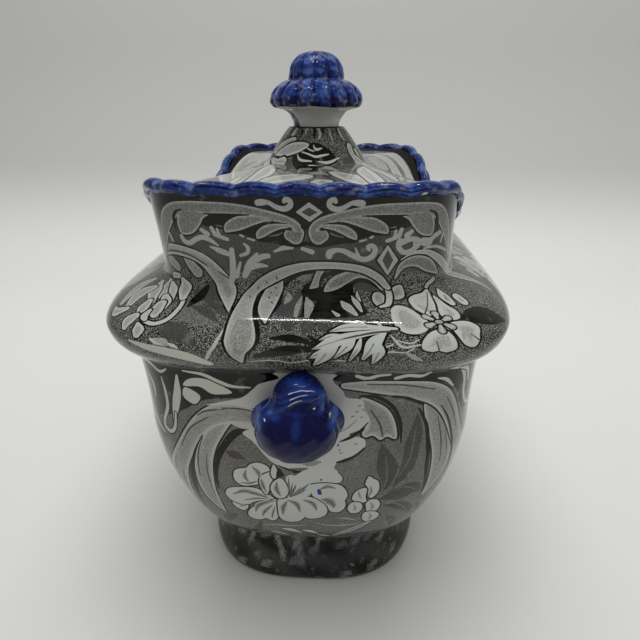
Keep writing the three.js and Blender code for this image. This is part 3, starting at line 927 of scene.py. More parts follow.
    @staticmethod
    def left_scroll() -> Print:
        """Broad acanthus scroll down the left of the belly, with its inner band.

        Returns:
            The drawing, in mm on the chart.
        """
        art = Print()
        outer = Blade((
            (-9, 58.6, 2.6), (-12.5, 58.8, 4.8), (-16, 59.3, 5.8), (-21, 58.9, 6.2), (-25.5, 56, 5.4),
            (-29.5, 51, 5), (-33, 45, 5.4), (-36, 40, 6.2), (-38.5, 35, 7.6), (-40.5, 29, 8.8), (-41, 22, 8),
            (-39, 15, 5), (-36, 9, 2),
        ))
        inner = Blade((
            (-18, 57.2, 1), (-21.5, 54.4, 3.6), (-24.6, 49.8, 4.6), (-26.8, 44, 5.2), (-28, 38, 5.6),
            (-28.5, 32, 5.4), (-27.8, 26.5, 4.2), (-26, 21, 0.5),
        ))
        art.lay(outer, Tone.INK, -0.5)
        art.edged(inner, 0.9, Tone.ASH, 0.5)
        art.shade(outer, 1, Tone.ASH)
        art.stroke(
            (-26.4, 51.6, 0.3), (-28.8, 46.8, 0.7), (-31, 41, 1.3), (-32.6, 35, 2), (-33.9, 28, 1.6),
            (-34.3, 21, 0.8), tone=Tone.INK,
        )
        art.stroke(
            (-14, 54.6, 0.8), (-17, 53.6, 2.2), (-20, 50, 2), (-22.8, 44.6, 1.7), (-24.3, 38.4, 1.3),
            (-24.6, 33, 0.4), tone=Tone.INK,
        )
        art.stroke((-9.8, 57.2, 0.6), (-12.6, 55.8, 1.6), (-15.8, 56.2, 1.8), (-18.4, 56.8, 0.6),
                   tone=Tone.PALE)
        art.strokes(
            Tone.DEEP,
            ((-24, 57.8, 0.3), (-29.6, 53.4, 0.5), (-33.4, 47, 0.3)),
            ((-19.5, 60.6, 0.3), (-24.4, 59.6, 0.5), (-27, 57.8, 0.3)),
            ((-37, 42, 0.3), (-40.2, 35, 0.6), (-42.6, 27, 0.3)),
            ((-36.4, 36, 0.3), (-38.2, 29, 0.6), (-38.8, 20, 0.3)),
            ((-26, 52, 0.2), (-28.4, 45, 0.5), (-29.6, 37, 0.3)),
            ((-25.6, 46, 0.2), (-26.8, 38, 0.4), (-26.8, 29, 0.2)),
            ((-12, 60.4, 0.3), (-16, 61, 0.5), (-20, 60.9, 0.3)),
        )
        return art

    @staticmethod
    def right_scroll() -> Print:
        """Scroll down the right of the belly, which springs from behind the handle.

        Returns:
            The drawing, in mm on the chart.
        """
        art = Print()
        outer = Blade((
            (10.5, 68.6, 1.6), (14, 68.6, 2.6), (18, 68.4, 3.5), (25, 67.6, 4.6), (31, 66.2, 5.8),
            (35.5, 63.4, 6), (39, 59, 5.6), (42, 53.5, 5.4), (45, 47.5, 5.8), (47.5, 42, 6.5),
            (49.5, 36, 7.2), (50, 28, 7.6), (48.5, 19, 5.6), (46, 12, 2.4),
        ))
        inner = Blade((
            (30.6, 64.6, 1), (33.2, 60.4, 4.6), (36, 54.2, 6.2), (38, 48, 7), (39.1, 42, 7.4), (39, 37, 6.4),
            (37.6, 32, 3.4), (36, 28.6, 0.4),
        ))
        art.edged(inner, 0.9, Tone.ASH, 0.5)
        art.edged(outer, 1, Tone.ASH, 0.5)
        art.stroke(
            (29.4, 61.4, 0.5), (32.2, 55.4, 1.1), (33.2, 48.6, 1.2), (33.8, 42, 1.3), (34.9, 36, 1.1),
            (35.3, 30.6, 0.4),
            tone=Tone.INK,
        )
        art.stroke(
            (35.8, 61, 0.3), (39.3, 55.6, 0.8), (41.8, 49.6, 1), (43.4, 43.6, 1.2), (44.4, 38, 1.7),
            (44.6, 31.6, 1.9), (43.8, 24, 0.8), tone=Tone.INK,
        )
        art.stroke((20, 66, 0.4), (26, 64.8, 1), (30.4, 62.4, 0.6), tone=Tone.INK)
        art.strokes(
            Tone.DEEP,
            ((16, 69.2, 0.3), (25, 68.8, 0.5), (33, 66.6, 0.3)),
            ((37.4, 63, 0.3), (41.2, 57, 0.5), (44.4, 50, 0.3)),
            ((46.6, 47, 0.3), (49.8, 39, 0.6), (51.6, 29, 0.3)),
            ((35.2, 58, 0.2), (37.2, 51, 0.5), (38.4, 42, 0.3)),
            ((47.4, 38, 0.3), (48, 30, 0.6), (47.4, 20, 0.3)),
            ((38.6, 53, 0.2), (40.2, 46, 0.4), (40.8, 39, 0.2)),
        )
        return art

    @staticmethod
    def belly_leaves() -> Print:
        """Dark leaves with thin stems between the flowers and the right scroll, and a fan leaf.

        Returns:
            The drawing, in mm on the chart.
        """
        art = Print()
        art.leaves(
            Tone.DEEP,
            ((20.3, 51.6, 0.3), (21.2, 48, 3.6), (22.4, 43.6, 5.8), (23.2, 38.6, 3.6), (22.3, 34.8, 0.4)),
            ((29.2, 60, 0.3), (29.4, 54.6, 3.4), (28.5, 49.6, 4.4), (27.4, 42, 3.8), (25, 36.2, 0.5)),
            ((22, 31.2, 0.5), (26.6, 32.8, 5.4), (31, 34, 5.8), (34.4, 32.4, 0.6)),
            ((24, 28, 0.4), (28.4, 27, 3.6), (32.6, 24, 3.2), (34.6, 20, 0.4)),
            ((26, 22, 0.4), (29, 18, 2.8), (30, 13, 0.4)), ((36, 25, 0.4), (39, 19, 3.4), (39, 12, 0.4)),
            ((-22, 21, 0.4), (-26.6, 17, 3.6), (-29.6, 11, 0.5)),
            ((-15, 17.6, 0.4), (-17, 12.6, 3), (-20.6, 8.6, 0.4)),
            ((-20, 47.6, 0.4), (-17.8, 46.8, 2.6), (-15, 45.6, 0.4)),
        )
        art.strokes(
            Tone.STIPPLE,
            ((20.4, 31.6, 0.4), (23.8, 36, 0.6), (25.4, 42, 0.6), (26.2, 49, 0.4)),
            ((24.4, 35.6, 0.3), (29, 35.4, 0.5), (33, 33, 0.3)),
            ((22, 34, 0.3), (22.6, 40, 0.45), (21.6, 47.6, 0.2)),
            ((25.8, 40, 0.3), (28.2, 46.6, 0.45), (29.2, 55.6, 0.2)),
            ((23.6, 30, 0.3), (29.6, 26.6, 0.4), (33.8, 21, 0.2)),
        )
        fan = Lobe((
            (14.7, 65.2), (18, 64.2), (21.6, 61.6), (23.6, 57.4), (24.1, 52.8), (21.6, 53.6), (20, 52.6),
            (18, 54), (16.2, 53.4), (15.2, 54.6), (16.2, 56.6), (15.8, 59.4), (14.8, 62),
        ))
        art.edged(fan, 1.1, Tone.GREY, 0.6)
        art.stroke((20.6, 53.6, 0.4), (19.6, 57.4, 0.6), (17.2, 61.6, 0.4), tone=Tone.DEEP)
        art.stroke((14.6, 65.8, 0.4), (18.6, 65.4, 1.1), (22.6, 62.4, 1.1), (24.8, 57.4, 1),
                   (25.4, 51.6, 0.4),
                   tone=Tone.INK)
        art.stroke((11, 53.4, 0.4), (14, 55.4, 1), (16.8, 57.6, 0.4), tone=Tone.DEEP)
        return art

    @staticmethod
    def handle_ground() -> Print:
        """Bare glaze round the foot of a handle, where the print was cut away and partly washed off, with
        painted shade just under the handle.

        Returns:
            The drawing, in mm on the chart.
        """
        art = Print()
        art.lay(Lobe((
            (-24, 61.4), (-20, 62.8), (-14.7, 64.4), (-11.7, 67), (-10, 68.6), (-5.2, 70.4), (-6, 72.2),
            (8, 72.2), (7.6, 70.2), (10.2, 67.2), (11.2, 65.2), (15, 64.6), (15.6, 61.6), (17, 58.9),
            (16.4, 56.6), (12, 54.2), (15.8, 53), (16, 50.4), (13.7, 47.9), (9.4, 45.8), (8.4, 43.6),
            (9.6, 42.3), (10.7, 39.8), (9.8, 37.9), (5, 37.6), (1.4, 34.4), (-3, 36), (-2.6, 39),
            (-0.8, 41.6), (1.6, 43.4), (-2.4, 43.2), (-5, 43), (-7.6, 44.8), (-9.6, 47), (-12.6, 51.2),
            (-15.2, 53.8), (-12, 55.6), (-8.6, 58), (-10, 61), (-13.6, 61.4), (-18, 62),
        )), Tone.BARE)
        # Painted shade under the handle: a dark line and a grey patch just below it.
        art.stroke((-6.4, 44, 0.3), (-3.9, 42.7, 0.7), (-1.4, 41.8, 1.1), (-0.5, 42.2, 0.4), tone=Tone.INK)
        art.stroke((0.2, 44.8, 0.6), (2.4, 44.9, 1.8), (4.6, 45.6, 0.8), tone=Tone.GREY)
        art.strokes(
            Tone.INK,
            ((9, 45.6, 0.5), (11, 46.3, 1), (13.6, 47.8, 0.7), (16, 50.2, 0.5)),
            ((9.6, 52, 0.3), (12.2, 53.3, 0.9), (14.4, 55, 0.7), (16.7, 57.9, 0.3)),
        )
        art.stroke((9.8, 55, 0.3), (12, 56.6, 0.4), (13.8, 58.6, 0.3), tone=Tone.GREY)
        dots = ((13.6, 61), (14.8, 59.4), (12.6, 59.6), (15.2, 61.6), (14.2, 62.8), (9.8, 48.6), (13.6, 51.4))
        art.dots(Tone.GREY, 0.5, (0.5, 0.2), dots)
        return art

    @staticmethod
    def peony() -> Print:
        """Large peony below the handle: overlapping white petals with grey folds.

        Returns:
            The drawing, in mm on the chart.
        """
        art = Print()
        art.petals(
            0.42,
            ((-21.5, 27.8), (-19, 27), (-17, 27.2), (-17.4, 25.3), (-19, 23.8), (-20.7, 24.6), (-21.8, 26.2)),
            ((-23, 30.8), (-22.2, 33.1), (-20.5, 34.3), (-17, 34.9), (-13.9, 34.9), (-11.4, 33.6),
             (-9.2, 31.4), (-8.2, 30.2), (-10.9, 29.8), (-13.4, 29.2), (-15.2, 28.3), (-16.5, 27.3),
             (-19, 26.9), (-21.7, 28.2)),
            ((-19.1, 38.3), (-19, 39.9), (-18.3, 41.5), (-16.5, 42.3), (-15.2, 42.5), (-13.8, 44),
             (-11.9, 44.6), (-9.9, 44), (-8.8, 42.6), (-9, 41.2), (-10.9, 40), (-11.9, 38.6), (-12.3, 36.8),
             (-13.9, 36), (-16.9, 35.6), (-18.5, 36.7)),
            ((-7.8, 30.2), (-11.5, 28.9), (-15, 26.6), (-17.5, 23.6), (-18, 20.8), (-16.2, 19), (-14, 19.3),
             (-12.6, 20.2), (-11, 18.9), (-9.2, 19.8), (-8.2, 22.5), (-7.6, 26.2)),
            ((2.1, 36.8), (4.2, 37.7), (7.2, 37.9), (10.2, 37.3), (11.9, 35.3), (12.5, 32.8), (11.9, 30.8),
             (12.3, 28.8), (11.7, 26.3), (10.2, 24.9), (8.2, 25.2), (6.7, 27.6), (5.2, 30.1), (2.7, 32.3)),
            ((-7.4, 30.3), (-8, 26), (-8.1, 22), (-7, 19.4), (-4.6, 18.6), (-2.4, 19), (-1, 20.2),
             (0.1, 21.7), (1.3, 20.9), (3.8, 21.2), (6.2, 22.8), (7, 25.3), (6.2, 28.4), (3.1, 31.3),
             (0.1, 32.1), (-4.4, 31.1)),
        )
        art.lay(Lobe(((-4.6, 31.2), (-4.6, 36), (-4.4, 40), (-1.8, 40.4), (1.6, 38), (2.6, 35), (1.4, 32.4),
                      (-1.6, 31.6)), 0.5), Tone.BARE)
        art.petals(
            0.42,
            ((-11.7, 39.3), (-10.9, 40.3), (-8.7, 41.4), (-8.3, 39.8), (-8.6, 36.8), (-9.8, 33.8),
             (-10.8, 32.2), (-11.8, 34.8), (-12.1, 37.3)),
            ((-7.7, 44.2), (-8.6, 41), (-7.9, 38.9), (-6.8, 40.6), (-6.9, 42.6)),
            ((-9.2, 34.6), (-8.7, 36.8), (-7.4, 38.5), (-5.9, 39.2), (-4.8, 37.5), (-4.3, 35.1), (-4.5, 32.8),
             (-5.6, 31.2), (-7.2, 30.8), (-8.5, 32)),
        )
        art.lay(Lobe(((-6.8, 42.2), (-7.2, 39.7), (-5.9, 39.8), (-4.9, 40.2), (-5.4, 41.6), (-6.2, 43)), 0.4),
                Tone.INK)
        folds = (
            ((-20.7, 31.4, 0.3), (-17, 33.2, 1.6), (-13.4, 32.2, 1.4), (-10.2, 30.8, 0.4)),
            ((-17.8, 29, 0.3), (-14.2, 30.2, 0.8), (-10.8, 30.3, 0.3)),
            ((-15.3, 23.6, 0.3), (-13.9, 26.8, 1.4), (-10.9, 28.8, 1.2), (-8.4, 29.6, 0.3)),
            ((-13.6, 21.2, 0.3), (-12.2, 24.2, 1.1), (-9.6, 27.4, 0.4)),
            ((-10.6, 20.6, 0.3), (-9.8, 23.6, 0.7), (-8.8, 26.6, 0.3)),
            ((-6.8, 22.6, 0.3), (-6.3, 26.6, 1.5), (-5, 29.4, 0.5)),
            ((-4.6, 30, 0.4), (-2.2, 28.4, 1.6), (-1.4, 24.6, 0.4)),
            ((0, 30.4, 0.4), (2.6, 28.9, 1.5), (3.8, 25.6, 0.4)),
            ((5.2, 31, 0.5), (7.2, 30.4, 2.6), (8.6, 28.6, 1.8), (8.8, 27.2, 0.4)),
            ((4.8, 35.4, 0.4), (6.8, 36.6, 1.4), (8.8, 36, 0.5)),
            ((-13.5, 43.2, 0.3), (-12.1, 41.2, 1.3), (-11.8, 39.2, 0.4)),
            ((-15.3, 41.8, 0.3), (-15.9, 39.3, 1.1), (-15.1, 37.2, 0.4)),
            ((-17.4, 36.6, 0.3), (-14.8, 36.7, 0.9), (-12.8, 37.6, 0.3)),
            ((-11.5, 38.6, 0.4), (-11.2, 36, 1.1), (-10.7, 33.4, 0.3)),
            ((-7.2, 37.6, 0.3), (-7.5, 34.8, 1.3), (-6.7, 31.9, 0.4)),
            ((-19.8, 25.8, 0.3), (-18.8, 26.2, 0.8), (-17.8, 26.4, 0.3)),
        )
        art.folds(folds, (1.5, Tone.PALE), (1, Tone.GREY), (0.45, Tone.STIPPLE))
        stamens = (
            (-3.9, 39.6, 0.6), (-2.9, 37.6, 0.5), (-1.9, 37, 0.8), (-0.6, 36, 0.5), (0.8, 35.2, 0.9),
            (1.8, 37.6, 1),
        )
        for x, y, width in stamens:
            foot, middle = (-4.2 + 0.3 * width, 31.4), (mix(-4, x, 0.6), mix(31.4, y, 0.55))
            art.stroke((*foot, 0.2), (*middle, width), (x, y, 0.15), tone=Tone.GREY)
            art.stroke((*foot, 0.15), (*middle, 0.3), (x, y, 0.1), tone=Tone.DEEP)
        art.stroke((9.4, 42.4, 0.3), (10.9, 40.3, 0.45), (10.4, 38.4, 0.45), (8.6, 37.8, 0.3), tone=Tone.INK)
        art.lay(Blade(((4.4, 35, 1), (4.65, 33.6, 1.3)), 0.4), Tone.COBALT)
        for spot in ((4.9, 39.1, 0.6), (9.2, 50.9, 0.5), (9.6, 49.4, 0.3)):
            art.lay(Blade((spot, (spot[0] + 0.1, spot[1] + 0.3, 0.8 * spot[2])), 0.4), Tone.COBALT)
        return art

    @staticmethod
    def buds() -> Print:
        """Half-open buds right of the peony, with a tail leaf and leaf tips at the waist.

        Returns:
            The drawing, in mm on the chart.
        """
        art = Print()
        art.petals(
            0.45,
            ((17.7, 40.8), (19.2, 39.8), (20.5, 38.8), (21.1, 35.8), (20.5, 33.3), (19.2, 31.8), (18.2, 33.8),
             (17.7, 36.8), (17, 37.8)),
            ((13.9, 32.3), (14.7, 34.8), (16.7, 36.3), (17.7, 35.8), (17.7, 32.3), (18.2, 30.3), (16.2, 29.8),
             (14.2, 31)),
            ((19.2, 31), (21.2, 31), (22.5, 28.8), (22.2, 26.3), (21.2, 25), (19.2, 25), (18.5, 27.3),
             (18.2, 29.3)),
            ((18.4, 24.8), (21, 25.2), (23.2, 23.5), (22.7, 20.9), (20.5, 19.2), (18.6, 20.4), (18, 22.6)),
            ((14, 29.8), (16.4, 29.8), (17.4, 27.6), (16.6, 25), (14.2, 24.6), (13, 27.2)),
        )
        art.strokes(
            Tone.GREY,
            ((18.6, 37, 0.3), (19, 34.6, 0.9), (18.4, 32.6, 0.3)),
            ((15.4, 34.8, 0.3), (15.9, 33, 0.8), (16.6, 31.6, 0.3)),
            ((19.6, 29.6, 0.3), (20.4, 27.8, 1), (20.2, 26.2, 0.3)),
            ((20, 24, 0.3), (20.8, 22.4, 1), (20.4, 20.6, 0.3)),
            ((14.8, 28.8, 0.3), (15.2, 27.2, 0.8), (15.2, 25.8, 0.3)),
        )
        art.edged(Blade(((21.2, 19.4, 0.8), (18.6, 16.8, 2.2), (15, 13.2, 2.6), (11.6, 10.2, 1.8),
                         (8.8, 7.6, 0.3))), 0.7, Tone.GREY, 0.4)
        art.blades(
            0.4,
            ((-8, 13.6, 0.8), (-5, 12.6, 2.2), (-1.8, 10.4, 0.8)),
            ((-1.2, 12.8, 0.6), (1.6, 12, 2), (4.2, 10.2, 0.6)),
            ((4, 9.2, 0.5), (6.4, 8.4, 1.6), (9, 7.8, 0.5)),
            ((-13, 10.8, 0.5), (-10, 9.6, 1.8), (-6.6, 7.4, 0.5)),
        )
        art.strokes(
            Tone.SOFT,
            ((3, 18.4, 0.3), (8, 17, 0.6), (14, 17.3, 0.6), (18.2, 18.8, 0.3)),
            ((-14, 15.6, 0.3), (-10, 16.4, 0.7), (-5, 15.8, 0.5), (0, 16.8, 0.3)),
            ((10.5, 21.6, 0.3), (13.6, 21.4, 0.7), (16.6, 20.4, 0.3)),
        )
        return art

    @staticmethod
    def belly_border() -> Print:
        """Dark band under the shoulder with the white sprigs that cross it.

        Returns:
            The drawing, in mm on the chart.
        """
        art = Print()
        art.lay(Lobe((
            (-52, 73), (-56, 62), (-50, 52), (-40, 54), (-32, 58), (-24, 63), (-14, 64.6), (-8, 68),
            (-4, 72.6), (-20, 73.6), (-38, 73.8),
        )), Tone.INK)
        art.lay(Lobe(((9, 73), (10, 69.6), (20, 70.2), (32, 69.2), (40, 65), (46, 56), (54, 56), (58, 66),
                      (54, 74))), Tone.INK)
        art.white(Lobe(((-29.6, 66.4), (-28, 68.6), (-24.5, 69.4), (-21, 68.4), (-17, 65.8), (-20, 65),
                        (-22.5, 65.1), (-25.2, 66.8))))
        art.white(Lobe(((-29.2, 66), (-30.2, 63), (-27.2, 61.2), (-25.4, 64))))
        art.white(Blade(((-31, 69.2, 0.6), (-31.9, 64, 2.2), (-33.4, 59, 2.2), (-35, 53.6, 0.5))))
        art.blades(
            0.35,
            ((-29, 71, 0.4), (-24, 70.6, 0.9), (-20.5, 69, 1), (-17, 67.6, 0.9), (-12.4, 67.4, 0.4)),
            ((-36.5, 67.2, 0.4), (-36.2, 63, 1), (-36.6, 58, 1.1), (-39, 53.2, 1.1), (-39.2, 50.8, 1.2),
             (-37, 50, 1.2), (-35, 52, 1), (-33.8, 57, 0.6)),
            ((-48, 60, 0.4), (-46, 54, 0.9), (-43, 50, 1), (-40, 48.4, 0.6)),
            ((-49, 68, 0.4), (-44, 70.4, 0.9), (-40, 70.4, 1), (-36.6, 69, 0.9), (-34, 70.4, 0.4)),
            ((-44, 66.6, 0.4), (-41.6, 63.6, 1.1), (-42, 59, 0.5)),
            ((13.4, 71.6, 1), (16, 70.9, 1), (18.6, 71.9, 1), (21, 72.2, 0.8)),
            ((22.6, 70.9, 0.9), (25.6, 71.7, 1.1), (28.8, 71.2, 0.9), (31, 72.2, 0.5)),
            ((36.4, 72.2, 0.4), (40.6, 71, 1.2), (43.4, 67, 1.2), (45.2, 61, 1.2), (48.4, 57, 1.1),
             (52.4, 55, 0.4)),
            ((40, 71.2, 0.4), (44, 69.4, 1.2), (46.4, 64.6, 0.5)),
            ((47.6, 70.6, 0.5), (50.6, 66, 1.2), (51, 61, 0.5)),
            ((33.4, 69.8, 0.4), (36, 68.8, 1), (38.8, 66, 0.5)),
        )
        return art


class Wall:
    """Outer wall of the bowl, from the waist up to the bead, as a surface over its chart.

    The chart's height is mm along the wall, measured on the middle of the front.
    """

    CREASE_AT = 72.46
    TOP_AT = 124.7
    RIDGE_AT = 82.9
    RIDGE_WIDTH = 1.1
    WOBBLE = 0.1

    def __init__(self, ridge: float = 0.3, softness: float = 0.8) -> None:
        """Trace the wall's profile.

        Args:
            ridge: How far the moulded line on the shoulder stands up, in mm.
            softness: How far the folds of the moulded clay are rounded, in mm.
        """
        t = np.linspace(0.0, 1.0, 161)
        zero, quarter = np.zeros_like(t), t * math.pi / 2
        out, up = np.sin(quarter) ** (4 / 3), 1 - np.cos(quarter) ** (4 / 3)
        under_bead = RIM.grown(-0.7)
        zones = (
            (WAIST.mixed(BELLY, out), mix(FOOT_HEIGHT, BELLY_HEIGHT, up), zero),
            (BELLY.mixed(CREASE, t**2), mix(BELLY_HEIGHT, CREASE_HEIGHT, t), zero),
            (CREASE.mixed(SHOULDER, np.sin(quarter)), mix(CREASE_HEIGHT, SHOULDER_HEIGHT, t**1.3), zero),
            (SHOULDER.mixed(NECK, t**1.7), mix(SHOULDER_HEIGHT, NECK_HEIGHT, t), zero),
            (NECK.mixed(under_bead, t**1.7), mix(NECK_HEIGHT, RIM_HEIGHT - 2.5, t), t),
        )
        table = np.hstack([
            [plan.half_width, plan.half_length, plan.squareness, height, dip] for plan, height, dip in zones
        ]).T
        gaps = np.hypot(np.diff(table[:, 1]), np.diff(table[:, 3]))
        table = table[np.concatenate([[True], gaps > 1e-9])]
        along = np.concatenate([[0.0], np.cumsum(gaps[gaps > 1e-9])])
        self.levels = np.linspace(0.0, along[-1], 1400)
        step = self.levels[1]
        reach = int(4 * softness / step)
        weights = np.exp(-0.5 * (np.arange(-reach, reach + 1) * step / softness) ** 2)
        self.table = np.stack([
            self.softened(np.interp(self.levels, along, column), weights / weights.sum(), reach)
            for column in table.T
        ], 1)
        bump = bell(self.levels, self.RIDGE_AT, self.RIDGE_WIDTH)
        self.table[:, 3] += ridge * bump
        self.table[:, :2] += 0.4 * ridge * bump[:, None]

    @staticmethod
    def softened(values: Array, weights: Array, reach: int) -> Array:
        """Values smoothed by a bell, with their ends carried on straight.

        Args:
            values: Evenly spaced values.
            weights: The bell's weights.
            reach: How many values it reaches to each side.

        Returns:
            As many values, smoothed.
        """
        before = 2 * values[0] - values[reach:0:-1]
        after = 2 * values[-1] - values[-2 : -reach - 2 : -1]
        return np.convolve(np.concatenate([before, values, after]), weights, "valid")

    @staticmethod
    def rim_drop(bearing: Array) -> Array:
        """How far the rim lies below its full height at a bearing: it dips along the sides."""
        _, along = RIM.point(bearing)
        return RIM_DIP * (1.0 - eased(np.abs(along) / RIM.half_length, 0.38, 0.92))

    @staticmethod
    def rim_lean(bearing: Array) -> Array:
        """How far the front end of the rim was pushed to the left before firing."""
        return -RIM_LEAN * eased(-np.sin(bearing), 0.0, 0.8)

    def lift(self, chart: Array) -> Array:
        """Points in space, in mm, of rows of chart places.

        Args:
            chart: One row per place.

        Returns:
            One point per place.
        """
        along, up = chart[:, 0], chart[:, 1]
        bearing = ROUND.bearing(along)
        width, length, power, height, dip = (
            np.interp(up, self.levels, column) for column in self.table.T
        )
        lean = self.rim_lean(bearing) * eased(height, 100.0, 125.0)
        wobble = self.WOBBLE * np.sin(3.0 * bearing + 0.05 * up) * np.sin(up * 0.11)
        x, y = Plan(width - SKIN + wobble, length - SKIN + wobble, power).point(bearing)
        return np.stack([x + lean, y, height - dip * self.rim_drop(bearing)], 1)


def normals_of(lift: Callable[[Array], Array], chart: Array, step: float = 0.06) -> Array:
    """Outward normals of a lifted chart, by differences of the surface itself.

    Args:
        lift: The function that lifts chart places into space.
        chart: One row per place.
        step: Half the distance over which the slope is taken.

    Returns:
        One unit normal per place.
    """
    across = lift(chart + (step, 0.0)) - lift(chart - (step, 0.0))
    up = lift(chart + (0.0, step)) - lift(chart - (0.0, step))
    normal = np.cross(across, up)
    return normal / (np.linalg.norm(normal, axis=1, keepdims=True) + 1e-12)


def inside(points: Array, outline: Array) -> Array:
    """Whether each point lies inside an outline, by the even-odd rule.

    Args:
        points: One row per point.
        outline: The corners of the outline.

    Returns:
        One answer per point.
    """
    found = np.zeros(len(points), bool)
    x, y = points[:, 0], points[:, 1]
    for (x0, y0), (x1, y1) in zip(outline, np.roll(outline, -1, 0)):
        if y0 == y1:
            continue
        crosses = (y0 > y) != (y1 > y)
        found ^= crosses & (x < x0 + (y - y0) * (x1 - x0) / (y1 - y0))
    return found


# Distances in mm under which points become one: in a cut chart, and in space
MERGE, WELD = 1e-4, 0.004


@dataclass(frozen=True)
class Cut:
    """A chart cut along a drawing: its places, its triangles and the tone of each triangle."""

    chart: Array
    triangles: Array
    tones: Array


def cut_chart(
    drawing: Print, grid: Array, borders: list[Array], ground: Callable[[Array], Array],
    holes: tuple[int, ...] = (),
) -> Cut:
    """Cut a chart into triangles that follow every outline of a drawing.

    Args:
        drawing: What is printed on the chart.
        grid: Places that keep the mesh fine where nothing is drawn.
        borders: Closed outlines of the chart.
        ground: Function that gives the bare ground's tone at places.
        holes: Which of the borders bound a hole.

    Returns:
        The cut chart.
    """
    low, high = borders[0].min(0), borders[0].max(0)
    rings = [outline for outline, _ in drawing.patches]
    kept = [ring for ring in rings if np.all(ring.max(0) > low) and np.all(ring.min(0) < high)]
    loops = [*borders, *kept]
    points = np.vstack([grid, *loops])
    edges = []
    start = len(grid)
    for ring in loops:
        ends = list(range(start, start + len(ring)))
        edges.extend(zip(ends, ends[1:] + ends[:1]))
        start += len(ring)
    out = delaunay_2d_cdt([Vector(row) for row in points.tolist()], edges, [], 0, MERGE, False)
    chart = np.array([tuple(v) for v in out[0]])
    triangles = np.array(out[2])
    middles = chart[triangles].mean(1)
    keep = inside(middles, borders[0])
    for hole in holes:
        keep &= ~inside(middles, borders[hole])
    triangles, middles = triangles[keep], middles[keep]
    order = np.argsort(middles[:, 0])
    triangles, middles = triangles[order], middles[order]
    tones = ground(middles)
    for outline, tone in drawing.patches:
        box_low, box_high = outline.min(0), outline.max(0)
        first, last = np.searchsorted(middles[:, 0], [box_low[0], box_high[0]])
        near = np.arange(first, last)
        near = near[(middles[near, 1] > box_low[1]) & (middles[near, 1] < box_high[1])]
        if len(near):
            tones[near[inside(middles[near], outline)]] = tone
    a, b, c = (chart[triangles[:, i]] for i in range(3))
    (across_b, up_b), (across_c, up_c) = (b - a).T, (c - a).T
    turned = across_b * up_c - up_b * across_c < 0
    triangles[turned] = triangles[turned][:, ::-1]
    return Cut(chart, triangles, tones)


def welded(places: Array, triangles: Array, *carried: Array) -> tuple[Array, ...]:
    """Points in space joined where they coincide, with triangles and values that follow them.

    Args:
        places: Points in space, one row each.
        triangles: Corners of the triangles.
        carried: Values at the points.

    Returns:
        The points that are left, the whole triangles between them, which triangles those are, and the
        values at the points that are left.
    """
    keys = np.round(places / WELD).astype(np.int64)
    _, first, which = np.unique(keys, axis=0, return_index=True, return_inverse=True)
    joined = which.reshape(-1)[triangles]
    whole = np.all(joined != np.roll(joined, 1, 1), axis=1)
    return places[first], joined[whole], whole, *(values[first] for values in carried)


# The print's layout in mm: places and half sizes of the neck's diamonds, the upright lines about
# which its scrolls are mirrored, and how the flowers on the sides are moved
HIGH_AT, HIGH_SIZE = (3.0, 47.8), (3.0, 2.3)
LOW_AT, LOW_SIZE = (20.6, 36.4), (2.5, 3.8)
OUTER_DIAMOND = -49.5
SCROLL_AXIS, SMALL_SCROLL_AXIS = 2.0, 3.2
SIDE_FLOWER_RISE, SECOND_FLOWER = 6.0, (32.0, -4.0)
# Painted shade on the neck, which faces out and a little down under the bead: from this height its pale tones
# are deeper
NECK_FROM, NECK_PAINTED_SHADE = 27.0, 0.15


